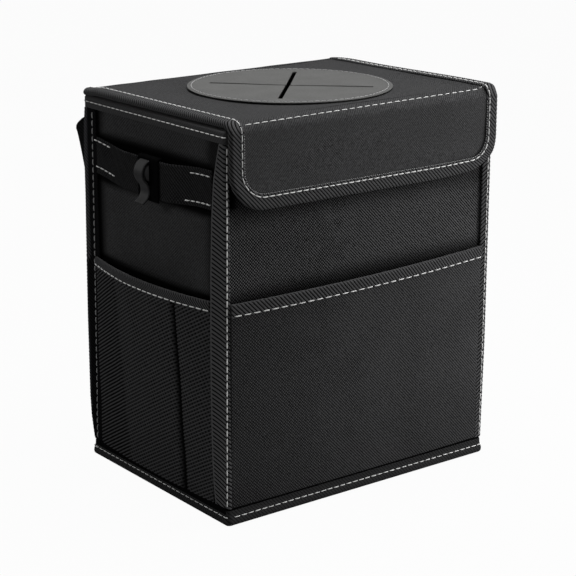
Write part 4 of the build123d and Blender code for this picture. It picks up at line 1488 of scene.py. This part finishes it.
def sew_straps():
    for side, hand in HANDS.items():
        lines = []
        for level, first, last in ((233.6, 49.5, 71.5), (215.4, 40.5, 71.5), (232.0, -70.4, -46.0),
                                   (213.5, -70.4, -41.0)):
            y = np.linspace(first, last, 20)
            out = np.maximum(strap_out(y) + 1.0, 1.35)
            lines.append((on_side(side, hand * y, out, level + strap_lift(y)), SIDES[side].out))
        seam(f"{side}_strap_thread", "bin", lines, pitch=5.6, dash=4.8)


sew_front_pocket()
sew_net_tapes()
sew_corners()
sew_rings()
sew_lid()
sew_straps()


# Camera, light and floor


def facing(place, aim):
    return (Vector(aim) - Vector(place)).to_track_quat("-Z", "Y")


def camera():
    data = bpy.data.cameras.new("photo_camera")
    data.sensor_width = 36.0
    data.lens = 110.864
    view = bpy.data.objects.new("photo_camera", data)
    place = Vector((-737.8, -972.2, 477.2)) * MM
    aim = Vector((-9.26, -12.43, 129.94)) * MM
    view.matrix_world = Matrix.Translation(place) @ facing(place, aim).to_matrix().to_4x4()
    bpy.context.collection.objects.link(view)
    bpy.context.scene.camera = view


def area_light(name, place, aim, size, power):
    data = bpy.data.lights.new(name, "AREA")
    data.shape = "DISK"
    data.size = size
    data.energy = power
    lamp = bpy.data.objects.new(name, data)
    lamp.location = place
    lamp.rotation_euler = facing(place, aim).to_euler()
    bpy.context.collection.objects.link(lamp)


def sees(tree, *rays):
    """One for the kinds of rays that see the plain white background."""
    path = node(tree, "ShaderNodeLightPath")
    seen, *others = [Value(path.outputs[f"Is {ray} Ray"]) for ray in rays]
    for other in others:
        seen = seen.maths("MAXIMUM", seen, other)
    return seen


def world(strength):
    made = bpy.data.worlds.new("studio")
    made.use_nodes = True
    background = made.node_tree.nodes["Background"]
    background.inputs["Color"].default_value = (1, 1, 1, 1)
    level = sees(made.node_tree, "Camera", "Transmission", "Glossy") * (1 - strength) + strength
    level.link(background.inputs["Strength"])
    bpy.context.scene.world = made


def floor():
    """A plane just under the part that looks white and takes a faint shadow."""
    mesh = bpy.data.meshes.new("studio_floor")
    size, depth = 6.0, -0.0004
    corners = [(-size, -size, depth), (size, -size, depth), (size, size, depth), (-size, size, depth)]
    mesh.from_pydata(corners, [], [(0, 1, 2, 3)])
    plane = bpy.data.objects.new("studio_floor", mesh)
    bpy.context.collection.objects.link(plane)
    material, tree, bsdf = shader("pale_floor", (0.35, 0.35, 0.35), 0.9, 0.0)
    glow = output("Emission", tree, "ShaderNodeEmission", Strength=1.0)
    mix = node(tree, "ShaderNodeMixShader", Fac=sees(tree, "Camera", "Transmission") * 0.965)
    Value(bsdf.outputs["BSDF"]).link(mix.inputs[1])
    glow.link(mix.inputs[2])
    Value(mix.outputs["Shader"]).link(tree.nodes["Material Output"].inputs["Surface"])
    mesh.materials.append(material)


camera()
world(strength=0.12)
area_light("key", (0.15, -0.06, 1.75), (0, 0, 0.2), size=1.0, power=25.5)
area_light("right_fill", (0.50, -0.38, 0.30), (0.05, -0.08, 0.15), size=0.4, power=3.25)
area_light("left_rim", (-1.3, 1.0, 0.7), (-0.1, 0, 0.18), size=0.35, power=3.8)
floor()

scene = bpy.context.scene
scene.view_settings.view_transform = "Standard"
